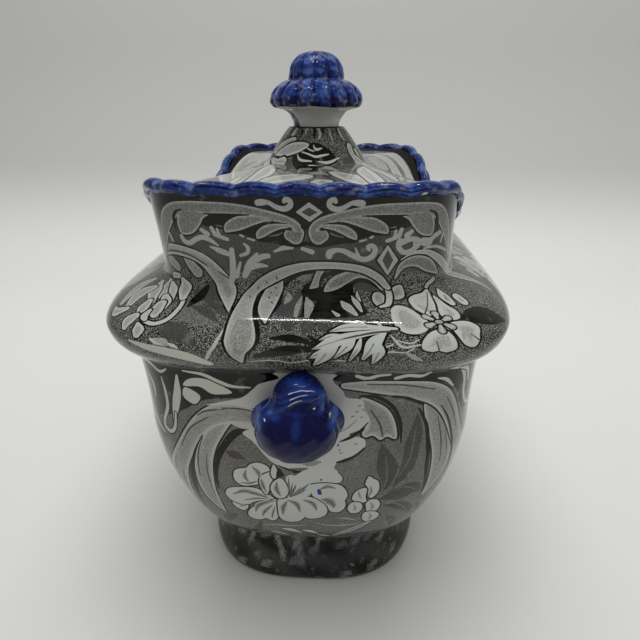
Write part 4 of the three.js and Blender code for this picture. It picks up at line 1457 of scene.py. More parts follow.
def wall_print() -> Print:
    """Print of the whole outer wall on its chart.

    Returns:
        The drawing. The neck and shoulder motifs are drawn in mm along the neck and moved to the
        chart, whose x is mm along the belly.
    """
    neck = Girth(NECK)

    def lifted(outline: Array) -> Array:
        """Neck millimetres to chart millimetres."""
        across = ROUND.distance(neck.bearing(outline[:, 0]))
        return np.stack([across, outline[:, 1] + Wall.CREASE_AT], 1)

    neck_half, belly_half = neck.total / 2, ROUND.total / 2
    neck_turn, belly_turn = neck.total / 4, ROUND.total / 4
    upper, whole = Print(), Print()

    # Neck: scrolls in facing pairs, a diamond between the two of each pair and a lower one after it
    scroll, s_scroll, long_scroll = Ornament.neck_scroll(), Ornament.small_scroll(), Ornament.long_scroll()
    crossing = Ornament.crossing()
    arch, side, leaf = Ornament.shoulder_arch(), Ornament.side_arch(), Ornament.corner_leaf()
    rose, spray, full_rose = Ornament.dog_rose(), Ornament.leaf_spray(), Ornament.side_rose()
    for turn in (0.0, neck_half):
        for drawing in (rose, full_rose, arch, side, leaf, spray, crossing, scroll, s_scroll, long_scroll):
            upper.add(drawing.placed(shifted(turn)))
        upper.add(scroll.placed(mirrored(SCROLL_AXIS, turn)))
        upper.add(s_scroll.placed(mirrored(SMALL_SCROLL_AXIS, turn)))
        upper.add(Ornament.diamond((turn + HIGH_AT[0], HIGH_AT[1]), *HIGH_SIZE))
        for across in (LOW_AT[0], OUTER_DIAMOND):
            upper.add(Ornament.diamond((turn + across, LOW_AT[1]), *LOW_SIZE))
    for turn in (neck_turn, neck_turn + neck_half):
        for drawing in (full_rose, arch, side, spray, crossing, scroll, s_scroll, rose):
            upper.add(drawing.placed(mirrored(0.0, turn)))
        upper.add(scroll.placed(shifted(turn - 2 * SCROLL_AXIS)))
        upper.add(Ornament.diamond((turn - HIGH_AT[0], HIGH_AT[1]), *HIGH_SIZE))
        upper.add(Ornament.diamond((turn - LOW_AT[0], LOW_AT[1]), *LOW_SIZE))

    # Belly: the flowers on the sides first, then the whole panel at both ends
    leaves, flowers, buds = Ornament.belly_leaves(), Ornament.peony(), Ornament.buds()
    for turn in (belly_turn, belly_turn + belly_half):
        for drawing in (leaves, buds, flowers):
            whole.add(drawing.placed(mirrored(0.0, turn, SIDE_FLOWER_RISE)))
            whole.add(drawing.placed(shifted(turn + SECOND_FLOWER[0], SECOND_FLOWER[1])))
    for turn in (0.0, belly_half):
        for drawing in (
            leaves, Ornament.belly_border(), Ornament.left_scroll(), Ornament.right_scroll(),
            Ornament.handle_ground(), flowers, buds,
        ):
            whole.add(drawing.placed(shifted(turn)))

    # Painted neck shade: pale tones high on the neck are laid deeper.
    for outline, tone in upper.patches:
        pale = Tone.BARE.value < tone < Tone.STIPPLE.value
        on_neck = outline[:, 1].min() > NECK_FROM
        whole.patches.append((lifted(outline), tone + NECK_PAINTED_SHADE if pale and on_neck else tone))
    return whole


@dataclass(frozen=True)
class PrintFinish:
    """Look of a transfer print under clear glaze.

    Attributes:
        ink: Colour of the flat dark print.
        warm_ink: Colour that the print drifts to where it is thin.
        key: Colour of the deepest engraved lines.
        glaze: Colour of the bare glazed clay.
        cool_glaze: Colour that the bare glaze drifts to.
        drip: Colour of a stray drip of cobalt.
        dot: Size in mm of the stipple's grains.
        wear: How much the solid print is broken up by pale specks, from 0 to 1.
        cloud: Size in mm of the clouds of weak and strong pressing.
        drift: Size in mm of the ink's slow drift to its warm colour.
        stain: Size in mm of the bare glaze's drift to its cool colour.
        chip: Size in mm of the worn specks.
        grain: How far the stipple shifts a tone, as stops from bare glaze to solid ink.
    """

    ink: str = "#2b2729"
    warm_ink: str = "#2f2722"
    key: str = "#0c0a08"
    glaze: str = "#c4c4bb"
    cool_glaze: str = "#bdbfbc"
    drip: str = "#26367c"
    dot: float = 0.5
    wear: float = 0.35
    cloud: float = 5.0
    drift: float = 9.0
    stain: float = 14.0
    chip: float = 2.2
    grain: tuple[tuple[float, float], ...] = (
        (0.0, 0.0), (0.13, 0.12), (0.36, 0.34), (0.54, 0.42), (0.76, 0.3), (0.8, 0.3), (0.84, 0.8),
        (0.88, 0.8), (0.91, 0.1), (1.0, 0.0),
    )


@dataclass(frozen=True)
class CobaltFinish:
    """Look of brushed cobalt under clear glaze.

    Attributes:
        milky: Colour of its milky specks.
        thin: Colour where the slip is thin.
        full: Colour of the full coat.
        pooled: Colour where it pooled.
        bare: Colour of the glaze where the brush left none, also laid as painted highlights.
        blot: Size in mm of the coat's blots.
        mottle: Size in mm of its fine mottle.
        speck: Size in mm of the milky specks.
        fray: Size in mm of the ragged edge to the bare glaze.
        ripple: Depth in mm of the ripples on a still and on a lively coat.
    """

    milky: str = "#7d8199"
    thin: str = "#47609a"
    full: str = "#1a3174"
    pooled: str = "#030338"
    bare: str = "#c5c6c0"
    blot: float = 2.4
    mottle: float = 0.6
    speck: float = 1.1
    fray: float = 1.6
    ripple: tuple[float, float] = (0.08, 0.3)


FOOT_FINISH = PrintFinish(
    ink="#0f0d0c", warm_ink="#1c1713", key="#070605", glaze="#a9a9a2", cool_glaze="#6f6e76", wear=0.9,
    dot=0.7,
)


class Nodes:
    """A material's node tree, with one small function that adds and wires a node."""

    def __init__(self, name: str) -> None:
        """Start a material with a Principled surface.

        Args:
            name: The material's name.
        """
        self.material = bpy.data.materials.new(name)
        self.material.use_nodes = True
        self.tree = self.material.node_tree
        self.surface = self.tree.nodes["Principled BSDF"]

    def add(self, kind: str, sockets: dict | None = None, **settings: object) -> bpy.types.Node:
        """Add a node.

        Args:
            kind: The node's type name, without its "ShaderNode" start.
            sockets: Inputs by name or place. A value sets the input and a socket is wired to it.
            settings: The node's own properties.

        Returns:
            The new node.
        """
        node = self.tree.nodes.new("ShaderNode" + kind)
        for key, value in settings.items():
            setattr(node, key, value)
        for key, value in (sockets or {}).items():
            self.put(node.inputs[key], value)
        return node

    def put(self, socket: bpy.types.NodeSocket, value: object) -> None:
        """Set an input to a value, or wire another node's output to it.

        Args:
            socket: The input.
            value: A value or an output.
        """
        if isinstance(value, bpy.types.NodeSocket):
            self.tree.links.new(value, socket)
        else:
            socket.default_value = value

    def math(self, operation: str, *values: object) -> bpy.types.NodeSocket:
        """Result of a math node on up to three values or sockets."""
        return self.add("Math", dict(enumerate(values)), operation=operation).outputs[0]

    def times(self, first: object, second: object) -> bpy.types.NodeSocket:
        """Product of two values."""
        return self.math("MULTIPLY", first, second)

    def plus(self, first: object, second: object) -> bpy.types.NodeSocket:
        """Sum of two values."""
        return self.math("ADD", first, second)

    def minus(self, first: object, second: object) -> bpy.types.NodeSocket:
        """Difference of two values."""
        return self.math("SUBTRACT", first, second)

    def ranged(
        self, value: object, low: object, high: object, start: float = 0.0, end: float = 1.0,
    ) -> bpy.types.NodeSocket:
        """Value mapped smoothly from low..high to start..end."""
        sockets = {0: value, 1: low, 2: high, 3: start, 4: end}
        return self.add("MapRange", sockets, interpolation_type="SMOOTHSTEP").outputs[0]

    def blend(self, share: object, first: object, second: object) -> bpy.types.NodeSocket:
        """Colour at a share of the way from the first colour to the second.

        Args:
            share: The share.
            first: The colour at 0.
            second: The colour at 1.

        Returns:
            The blended colour.
        """
        node = self.add("Mix", data_type="RGBA")
        for socket, value in zip((node.inputs[0], node.inputs[6], node.inputs[7]), (share, first, second)):
            self.put(socket, value)
        return node.outputs[2]

    def curve(self, value: object, stops: tuple[tuple[float, float], ...]) -> bpy.types.NodeSocket:
        """Value read off straight lines between stops, each an input and its output.

        Args:
            value: What is read.
            stops: The curve's corners, from left to right.

        Returns:
            The curve's value.
        """
        node = self.add("ValToRGB", {0: value})
        ramp = node.color_ramp
        while len(ramp.elements) < len(stops):
            ramp.elements.new(0.5)
        for element, (place, level) in zip(ramp.elements, stops):
            element.position = place
            element.color = (level, level, level, 1.0)
        return node.outputs[0]

    def noise(self, where: object, size: float, detail: float = 2.0) -> bpy.types.NodeSocket:
        """Cloudy noise whose blots are about size mm across."""
        sockets = {"Vector": where, "Scale": 0.5 / (size * MM), "Detail": detail}
        return self.add("TexNoise", sockets).outputs[0]

    def attribute(self, name: str, output: str = "Fac") -> bpy.types.NodeSocket:
        """A value that the mesh carries."""
        return self.add("Attribute", attribute_name=name).outputs[output]


class Glazes:
    """The record's finishes, each made once as a node material."""

    def __init__(self) -> None:
        """Make every finish of the bowl and its cover."""
        self.printed = self.print_glaze("printed_glaze", PrintFinish())
        self.cover = self.print_glaze("cover_glaze", PrintFinish(wear=0.5))
        self.foot = self.print_glaze("foot_glaze", FOOT_FINISH)
        self.cobalt = self.cobalt_glaze("cobalt_glaze", CobaltFinish())
        self.white = self.plain_glaze("white_glaze", "#c9c9c1", "#b7bab8")

    @staticmethod
    def glossed(nodes: Nodes, colour: object, where: object, waviness: object = 0.075) -> bpy.types.Material:
        """Finish a tree as glass-clear lead glaze over a colour.

        Args:
            nodes: The tree.
            colour: Colour socket or value of what lies under the glaze.
            where: Coordinates of the surface in metres.
            waviness: Depth in mm of the glaze's slow ripples.

        Returns:
            The finished material.
        """
        ripples = nodes.plus(nodes.times(nodes.noise(where, 1.6, 1.0), 0.35), nodes.noise(where, 7.0, 0.0))
        bump = nodes.add("Bump", {"Strength": 1.0, "Distance": nodes.times(waviness, MM), "Height": ripples})
        for name, value in (
            ("Base Color", colour), ("Roughness", 0.06), ("IOR", 1.52),
            ("Specular IOR Level", 0.28), ("Normal", bump.outputs[0]),
        ):
            nodes.put(nodes.surface.inputs[name], value)
        return nodes.material

    def print_glaze(self, name: str, finish: PrintFinish) -> bpy.types.Material:
        """Transfer print on earthenware: engraved ink in stipple under a glossy lead glaze.

        The eye gets crisp leaves and flowers with grained shades, never flat greys, and a wet shine.

        Args:
            name: The material's name.
            finish: Its colours and sizes.

        Returns:
            The finished material.
        """
        nodes = Nodes(name)
        where = nodes.add("TexCoord").outputs["Object"]
        laid = nodes.attribute("tone")
        tone = nodes.math("MINIMUM", laid, 1.0)

        # Stipple: cells and worms of ink, which eat into a tone from both sides
        grains = {"Vector": where, "Scale": 1.0 / (finish.dot * MM)}
        cells = nodes.add("TexVoronoi", grains, feature="F1").outputs["Distance"]
        worms = nodes.ranged(nodes.noise(where, 0.26 * finish.dot, 0.0), 0.34, 0.66)
        pattern = nodes.plus(nodes.times(cells, 0.4), nodes.times(worms, 0.7))
        clouds = nodes.minus(nodes.noise(where, finish.cloud, 3.0), 0.5)
        pressed = nodes.plus(tone, nodes.times(clouds, 0.4 * finish.wear))
        span = nodes.curve(tone, finish.grain)
        grained = nodes.minus(pressed, nodes.times(nodes.minus(pattern, 0.5), span))
        held = nodes.math("MINIMUM", nodes.math("MAXIMUM", grained, 0.0), 1.0)
        ink = nodes.times(held, nodes.ranged(tone, 0.0, 0.1))

        # Ink: warmer where it is thin, nearly black in solid lines and in the night ground
        warmth = nodes.ranged(nodes.noise(where, finish.drift, 3.0), 0.42, 0.72)
        flat = nodes.blend(warmth, linear(finish.ink), linear(finish.warm_ink))
        solid = nodes.ranged(tone, 0.93, 0.98)
        night = nodes.math("MAXIMUM", solid, nodes.math("COMPARE", tone, Tone.NIGHT.value, 0.03))
        ink_colour = nodes.blend(night, flat, linear(finish.key))

        # Glaze: it drifts to a cool white, shows through worn specks and carries stray drips
        cool = nodes.ranged(nodes.noise(where, finish.stain, 2.0), 0.35, 0.65)
        bare = nodes.blend(cool, linear(finish.glaze), linear(finish.cool_glaze))
        colour = nodes.blend(ink, bare, ink_colour)
        worn = nodes.ranged(nodes.noise(where, finish.chip, 5.0), 0.62, 0.74, 0.0, 0.5 * finish.wear)
        colour = nodes.blend(worn, colour, bare)
        colour = nodes.blend(nodes.ranged(laid, 1.4, 1.6), colour, linear(finish.drip))
        return self.glossed(nodes, colour, where)

    def cobalt_glaze(self, name: str, finish: CobaltFinish) -> bpy.types.Material:
        """Cobalt slip brushed on by hand and glazed: it pools deep blue in the hollows.

        The eye gets a wet, uneven blue, nearly black in the middle and milky at its thin edges.

        Args:
            name: The material's name.
            finish: Its colours and sizes.

        Returns:
            The finished material.
        """
        nodes = Nodes(name)
        where = nodes.add("TexCoord").outputs["Object"]
        lively = nodes.minus(1.0, nodes.times(nodes.attribute("still"), 0.72))
        blots = nodes.minus(nodes.noise(where, finish.blot, 4.0), 0.5)
        mottle = nodes.minus(nodes.noise(where, finish.mottle, 2.0), 0.5)
        level = nodes.plus(nodes.attribute("depth"), nodes.times(lively, nodes.plus(blots, mottle)))
        colour = nodes.blend(nodes.ranged(level, 0.0, 0.42), linear(finish.thin), linear(finish.full))
        colour = nodes.blend(nodes.ranged(level, 0.42, 0.95), colour, linear(finish.pooled))
        clots = nodes.ranged(nodes.noise(where, finish.speck, 3.0), 0.54, 0.7, 0.0, 0.65)
        specks = nodes.times(nodes.math("POWER", lively, 3.0), clots)
        colour = nodes.blend(specks, colour, linear(finish.milky))
        frayed = nodes.times(nodes.minus(nodes.noise(where, finish.fray, 3.0), 0.5), 0.3)
        # The bare attribute whitens the blue with glaze colour: real bare glaze and chips, and painted
        # highlights.
        ragged = nodes.plus(nodes.attribute("bare"), frayed)
        colour = nodes.blend(nodes.ranged(ragged, 0.4, 0.6), colour, linear(finish.bare))
        still_depth, lively_depth = finish.ripple
        return self.glossed(nodes, colour, where, nodes.plus(still_depth, nodes.times(lively, lively_depth)))

    def plain_glaze(self, name: str, shade: str, cool_shade: str) -> bpy.types.Material:
        """Pearl-white lead glaze on cream clay: a soft, faintly blue white that mirrors the light.

        Args:
            name: The material's name.
            shade: Its colour.
            cool_shade: The colour that it drifts to.

        Returns:
            The finished material.
        """
        nodes = Nodes(name)
        where = nodes.add("TexCoord").outputs["Object"]
        cloud = nodes.ranged(nodes.noise(where, 12.0, 3.0), 0.4, 0.7)
        return self.glossed(nodes, nodes.blend(cloud, linear(shade), linear(cool_shade)), where)


def make_mesh(
    name: str, places: Array, faces: Array | list[list[int]], material: bpy.types.Material, body: str,
    slot: str, normals: Array | None = None, **values: tuple[str, Array],
) -> bpy.types.Object:
    """Make a piece from points in mm and dress it.

    Args:
        name: The piece's name.
        places: Points in mm, one row each.
        faces: Corners of the faces.
        material: Its finish.
        body: The moving body that it rides on.
        slot: The record's slot that names the finish; not used.
        normals: Normals at the points, for a surface that is smoother than its mesh.
        values: Numbers that the finish reads, by name, each as its domain and its values.

    Returns:
        The new piece.
    """
    mesh = bpy.data.meshes.new(name)
    mesh.from_pydata((places * MM).tolist(), [], faces if isinstance(faces, list) else faces.tolist())
    for key, (domain, data) in values.items():
        layer = mesh.attributes.new(key, "FLOAT", domain)
        layer.data.foreach_set("value", np.ascontiguousarray(data, np.float32))
    mesh.shade_smooth()
    if normals is not None:
        mesh.normals_split_custom_set_from_vertices(normals.tolist())
    mesh.materials.append(material)
    piece = bpy.data.objects.new(name, mesh)
    bpy.context.collection.objects.link(piece)
    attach(piece, body)
    LOG.info("%s: %d points, %d faces", name, len(places), len(faces))
    return piece


def grid_faces(rows: int, columns: int) -> Array:
    """Quads between round rows of points.

    Args:
        rows: How many rows there are.
        columns: How many points are in a row, whose last joins its first.

    Returns:
        Four corners per quad.
    """
    row, column = np.arange(rows - 1)[:, None], np.arange(columns)[None, :]
    after = (column + 1) % columns
    quads = [row * columns + column, row * columns + after, (row + 1) * columns + after,
             (row + 1) * columns + column]
    return np.stack([quad.ravel() for quad in quads], 1)


def fan(row: int, columns: int, middle: int) -> list[list[int]]:
    """Triangles that close the round row with a given number onto a middle point."""
    return [[row * columns + i, row * columns + (i + 1) % columns, middle] for i in range(columns)]


def rounded_quarter(share: float | Array, power: float) -> tuple[Array, Array]:
    """How far out and how far up a rounded quarter has come, from lying flat to upright."""
    angle = share * math.pi / 2
    return np.sin(angle) ** (2 / power), 1 - np.cos(angle) ** (2 / power)


def stacked(levels: list[tuple[Plan, Array | float]], bearing: Array) -> Array:
    """Round rows of points: one row per outline, at its height.

    Args:
        levels: Each row's outline and its height or heights in mm.
        bearing: The bearings of a row's points.

    Returns:
        The points of all rows, one after the other.
    """
    rows = []
    for plan, height in levels:
        x, y = plan.point(bearing)
        rows.append(np.stack([x, y, np.broadcast_to(height, x.shape)], 1))
    return np.vstack(rows)


# Where the cover sits: the neck's inside, the ledge's mouth, the cover's edge and its seat
THROAT = NECK.grown(-3.0)
MOUTH = THROAT.grown(-5.2)
EDGE = THROAT.grown(-0.8)
SEAT_HEIGHT = LEDGE_HEIGHT + 0.3


@dataclass(frozen=True)
class Bowl:
    """The bowl's body: printed outer wall, scalloped cobalt bead and glazed inside."""

    glazes: Glazes
    columns: int = 304
    lobes: int = 38
    lobe_rise: float = 0.9
    lobe_reach: float = 0.6
    bead_radius: float = 2.0
    bead_height: float = 1.5
    bead_rows: int = 64
    ledge_thickness: float = 3.2
    floor_height: float = FOOT_HEIGHT + 4.4

    HIGHLIGHT_STREAKS_AT = (52.0, 78.0, 106.0)
    CHIPS = ((-39.5, 0.9), (28.4, 1.0), (-75.0, 0.8), (96.0, 0.9), (171.0, 1.0), (-140.0, 0.8))
    DARKER_ABOVE = ((2.0, Tone.NIGHT), (33.0, Tone.DEEP), (44.5, Tone.INK))

    def build(self) -> None:
        """Make every piece of the body and hide the CAD's."""
        wall, drawing = Wall(), self.repeated(wall_print())
        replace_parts(self.wall(wall, drawing, "belly_wall", 0.0, Wall.CREASE_AT, 62), "bowl_body")
        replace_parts(self.wall(wall, drawing, "shoulder_wall", Wall.CREASE_AT, Wall.TOP_AT, 56), "bowl_body")
        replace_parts(self.bead(), "bowl_body")
        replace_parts(self.throat(), "bowl_body")
        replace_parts(self.hollow(), "bowl_body")
        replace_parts(self.base(), "bowl_body")

    @staticmethod
    def repeated(drawing: Print) -> Print:
        """Drawing with copies of what runs over the chart's seam at the middle of the back.

        Args:
            drawing: The print, laid once round the chart.

        Returns:
            The drawing with its copies.
        """
        half = ROUND.total / 2
        repeated = Print()
        for outline, tone in drawing.patches:
            for turn in (-2, -1, 0, 1):
                copy = outline + (turn * ROUND.total, 0.0)
                if copy[:, 0].max() > -half and copy[:, 0].min() < half:
                    repeated.patches.append((copy, tone))
        return repeated

    def wall(
        self, wall: Wall, drawing: Print, name: str, low: float, high: float, rows: int,
    ) -> bpy.types.Object:
        """Band of the outer wall with the print cut into it.

        Args:
            wall: The surface.
            drawing: The print, whole round the chart.
            name: The piece's name.
            low: The chart height at which the band starts.
            high: The chart height at which it ends.
            rows: How many rows of points keep the band's mesh fine.

        Returns:
            The new piece.
        """
        half = ROUND.total / 2
        across = np.linspace(-half, half, self.columns + 1)
        up = np.linspace(low, high, rows)
        grid = np.stack(np.meshgrid(across[1:-1], up[1:-1]), -1).reshape(-1, 2)
        border = np.vstack([
            np.stack([across, np.full_like(across, low)], 1),
            np.stack([np.full(rows - 1, half), up[1:]], 1),
            np.stack([across[::-1][1:], np.full(len(across) - 1, high)], 1),
            np.stack([np.full(rows - 2, -half), up[::-1][1:-1]], 1),
        ])
        cut = cut_chart(drawing, grid, [border], self.ground)
        normals = normals_of(wall.lift, cut.chart)
        places, faces, whole, normals = welded(wall.lift(cut.chart), cut.triangles, normals)
        return make_mesh(
            name, places, faces, self.glazes.printed, "bowl", "printed_glaze", normals,
            tone=("FACE", cut.tones[whole]),
        )

    @classmethod
    def ground(cls, chart: Array) -> Array:
        """Tone of the bare ground of the print: stippled on the belly and darker up the neck.

        Args:
            chart: One row per place.

        Returns:
            One tone per place.
        """
        tones = np.full(len(chart), Tone.STIPPLE.value)
        for height, tone in cls.DARKER_ABOVE:
            tones[chart[:, 1] > Wall.CREASE_AT + height] = tone.value
        return tones

    def bead(self) -> bpy.types.Object:
        """Scalloped bead that finishes the rim, brushed along with cobalt that left fine ridges, with painted
        highlight streaks along it.

        Returns:
            The new piece.
        """
        count = np.arange(self.columns * 2) / (self.columns * 2) * self.lobes
        bearing = RIM_GIRTH.bearing(count / self.lobes * RIM_GIRTH.total)
        crest = np.abs(np.sin(math.pi * (count - 0.57))) ** 0.7
        height = RIM_HEIGHT - Wall.rim_drop(bearing) - SKIN - self.lobe_rise * (1 - crest)
        rows, depth, bare = [], [], []
        for degrees in np.linspace(-66, 186, self.bead_rows):
            angle = np.radians(degrees)
            across, up = math.cos(angle), math.sin(angle)
            brushed = 0.05 * math.sin(17 * angle) * np.sin(1.3 * count + 2.1 * angle)
            brushed = brushed + 0.03 * np.sin(29 * angle + 0.7 * count)
            out = (self.bead_radius - 0.14) * across - self.bead_radius + crest * self.lobe_reach - 0.12
            x, y = RIM.grown(out + brushed * across).point(bearing)
            z = height - (self.bead_height * (1 - up) + 0.06) + brushed * up
            rows.append(np.stack([x + Wall.rim_lean(bearing), y, z], 1))
            # The stripes lighten and deepen the blue along the bead: brush streaks in the slip, which also
            # stand in for its lines of light as painted highlight.
            stripes = 0.3 * math.sin(9 * angle + 1.0) * np.sin(0.8 * count + angle)
            stripes = stripes + 0.16 * np.sin(23 * angle + 3.0 * np.sin(0.9 * count))
            depth.append(0.56 + 0.16 * math.cos(2.6 * angle - 0.4) + stripes - 0.5 * (1 - crest) ** 2)
            # Painted highlights: broken streaks of glaze white along three rows of the bead.
            lines = sum(math.exp(-(((degrees - at) / 6.0) ** 2)) for at in self.HIGHLIGHT_STREAKS_AT)
            broken = eased(np.sin(2.6 * count + 0.06 * degrees), 0.1, 0.5) * eased(crest, 0.6, 0.8)
            bare.append(0.6 * lines * broken)
        places = np.vstack(rows)
        return make_mesh(
            "rim_bead", places, grid_faces(len(rows), len(bearing)), self.glazes.cobalt, "bowl",
            "cobalt_glaze", depth=("POINT", np.concatenate(depth)),
            bare=("POINT", self.chipped(places, np.concatenate(bare))),
        )

    def chipped(self, places: Array, bare: Array) -> Array:
        """How bare the bead's points are, with small chips along its lower edge.

        Args:
            places: The bead's points.
            bare: How bare each is without the chips, which includes the painted highlight streaks.

        Returns:
            How bare each is with them.
        """
        for across, size in self.CHIPS:
            bearing = RIM_GIRTH.bearing(np.array([across]))
            x, y = RIM.grown(-0.6).point(bearing)
            z = RIM_HEIGHT - Wall.rim_drop(bearing) - 2.9
            away = np.linalg.norm(places - np.array([x[0], y[0], z[0]]), axis=1)
            bare = np.maximum(bare, 1 - eased(away, 0.3 * size, 1.1 * size))
        return bare

    def throat(self) -> bpy.types.Object:
        """Inner face of the neck, printed dark, from the bead down to the ledge.

        Returns:
            The new piece.
        """
        bearing = RIM_GIRTH.even(self.columns)
        top = RIM_HEIGHT - Wall.rim_drop(bearing) - 2.0
        rows = []
        for share in np.linspace(0, 1, 14):
            x, y = RIM.grown(-3.8).mixed(THROAT, eased(np.array(share), 0.0, 1.0)).point(bearing)
            lean = (1 - share) * Wall.rim_lean(bearing)
            rows.append(np.stack([x + lean, y, mix(top, LEDGE_HEIGHT, share)], 1))
        faces = grid_faces(len(rows), self.columns)
        return make_mesh(
            "throat", np.vstack(rows), faces, self.glazes.printed, "bowl", "printed_glaze",
            tone=("FACE", np.full(len(faces), Tone.DEEP.value)),
        )

    def hollow(self) -> bpy.types.Object:
        """Ledge, mouth and inside of the bowl, plain white.

        Returns:
            The new piece.
        """
        under_ledge = LEDGE_HEIGHT - self.ledge_thickness
        levels = [
            (THROAT.grown(0.1), LEDGE_HEIGHT), (THROAT.grown(-1.5), LEDGE_HEIGHT),
            (MOUTH.grown(0.5), LEDGE_HEIGHT), (MOUTH.grown(0.1), LEDGE_HEIGHT - 0.2),
            (MOUTH, LEDGE_HEIGHT - 0.6), (MOUTH, under_ledge + 0.4),
            (MOUTH.grown(0.4), under_ledge), (NECK.grown(-WALL - 1.0), under_ledge - 0.4),
            (NECK.grown(-WALL), NECK_HEIGHT), (SHOULDER.grown(-9.0), 97.0),
            (SHOULDER.grown(-6.0), SHOULDER_HEIGHT), (CREASE.grown(-WALL), CREASE_HEIGHT - WALL),
            (BELLY.grown(-WALL), BELLY_HEIGHT),
        ]
        for share in (0.82, 0.66, 0.5, 0.34, 0.2, 0.08, 0.0):
            out, up = rounded_quarter(share, 1.5)
            plan = WAIST.mixed(BELLY, out).grown(-WALL)
            levels.append((plan, mix(self.floor_height + 0.1, BELLY_HEIGHT, up)))
        levels += [(WAIST.grown(-WALL - shrink), self.floor_height) for shrink in (6.0, 16.0, 28.0)]
        places = np.vstack([stacked(levels, RIM_GIRTH.even(self.columns)), [[0.0, 0.0, self.floor_height]]])
        faces = grid_faces(len(levels), self.columns).tolist()
        faces += fan(len(levels) - 1, self.columns, len(places) - 1)
        return make_mesh("bowl_inside", places, faces, self.glazes.white, "bowl", "white_glaze")

    def base(self) -> bpy.types.Object:
        """Underside of the bowl inside the foot ring.

        Returns:
            The new piece.
        """
        x, y = WAIST.grown(-1.0).point(RIM_GIRTH.even(self.columns))
        rows = [
            np.stack([x * share, y * share, np.full_like(x, FOOT_HEIGHT - 0.4 * (1 - share))], 1)
            for share in (1.0, 0.85, 0.6, 0.3)
        ]
        places = np.vstack([*rows, [[0.0, 0.0, FOOT_HEIGHT - 0.4]]])
        faces = grid_faces(len(rows), self.columns).tolist()
        faces += fan(len(rows) - 1, self.columns, len(places) - 1)
        faces = [face[::-1] for face in faces]
        return make_mesh("bowl_base", places, faces, self.glazes.white, "bowl", "white_glaze")


@dataclass(frozen=True)
class FootRing:
    """The moulded foot under the bowl, open underneath."""

    glazes: Glazes
    columns: int = 480
    wall: float = 6.0
    brim: float = 4.2

    SMEARS = (
        (-9.0, 1.2, 6.0, -0.3), (-5.6, 0.9, 9.5, 0.2), (-3.0, 1.6, 4.0, -0.2), (1.4, 0.8, 8.0, 0.3),
        (12.4, 2.0, 11.0, 0.6), (23.5, 1.3, 10.0, 0.5), (-22.0, 1.0, 9.0, 0.4), (36.0, 1.2, 8.0, -0.2),
        (-38.0, 1.6, 6.0, 0.3), (-60.0, 1.2, 8.0, 0.2), (52.0, 1.5, 9.0, -0.4),
    )

    def build(self) -> None:
        """Make the ring and hide the CAD's."""
        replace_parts(self.ring(), "foot_ring")

    def ring(self) -> bpy.types.Object:
        """Ring with a soft hollow in its outer face.

        Returns:
            The new piece.
        """
        girth = Girth(FOOT)
        levels = []
        for height in mix(self.brim, FOOT_HEIGHT, np.linspace(0, 1, 15)[::-1]):
            levels.append((FOOT.mixed(WAIST, eased(height, 3.0, 12.0)), height))
        levels += [
            (FOOT.grown(-0.1), 2.4), (FOOT.grown(-0.35), 1.3), (FOOT.grown(-0.9), 0.45),
            (FOOT.grown(-1.7), 0.02),
            (FOOT.grown(-self.wall + 0.8), 0.02), (FOOT.grown(-self.wall), 0.8),
            (FOOT.mixed(WAIST, 0.7).grown(-self.wall), 9.0), (WAIST.grown(-self.wall), FOOT_HEIGHT),
        ]
        places = stacked([(plan.grown(-SKIN), height) for plan, height in levels], girth.even(self.columns))
        faces = grid_faces(len(levels), self.columns)
        around = np.arange(self.columns) / self.columns * girth.total
        tones = self.marbled(around[faces[:, 0] % self.columns], places[faces].mean(1)[:, 2], girth.total)
        return make_mesh(
            "foot", places, faces[:, ::-1], self.glazes.foot, "bowl", "foot_glaze", tone=("FACE", tones),
        )

    def marbled(self, across: Array, up: Array, total: float) -> Array:
        """Tone of the marbled print, from a dark ground with patches and slanting smears.

        Args:
            across: Distance of each face round the ring, in mm.
            up: Its height in mm.
            total: The distance once round.

        Returns:
            One tone per face.
        """
        patches = np.sin(0.33 * across + 1.0) * np.sin(0.62 * up + 0.21 * across + 0.6)
        patches = patches + 0.5 * np.sin(0.9 * across - 1.1 * up)
        tones = 0.95 + 0.04 * np.sin(0.31 * across + 0.5 * up) - 0.34 * eased(patches, 0.4, 1.3)
        ragged = 0.7 + 0.3 * np.sin(2.1 * up + across) * np.sin(3.3 * across + 0.8 * up)
        for middle, half, bottom, lean in self.SMEARS:
            for turn in (0.0, total / 2):
                gap = across - turn - middle - lean * (up - 9.0)
                away = np.abs((gap + total / 2) % total - total / 2)
                smear = (1 - eased(away, 0.2 * half, 1.3 * half)) * eased(up, bottom, bottom + 3.0) * ragged
                tones = np.minimum(tones, 1.0 - 0.7 * smear)
        return np.where(up < 0.6, 0.3, np.minimum(tones, 1.0))


@dataclass(frozen=True)
class Ball:
    """One swelling of a lug: its centre and its three radii in mm."""

    centre: tuple[float, float, float]
    radii: tuple[float, float, float]

    def exit(self, start: Array, ways: Array) -> Array:
        """Distance at which rays from a start inside the ball leave it.

        Args:
            start: Where the rays start.
            ways: Their directions, one row each.

        Returns:
            One distance per ray, in mm.
        """
        offset = (start - np.array(self.centre)) / np.array(self.radii)
        scaled = ways / np.array(self.radii)
        a, b, c = (scaled**2).sum(1), (scaled * offset).sum(1), (offset**2).sum() - 1.0
        return (-b + np.sqrt(b * b - a * c)) / a


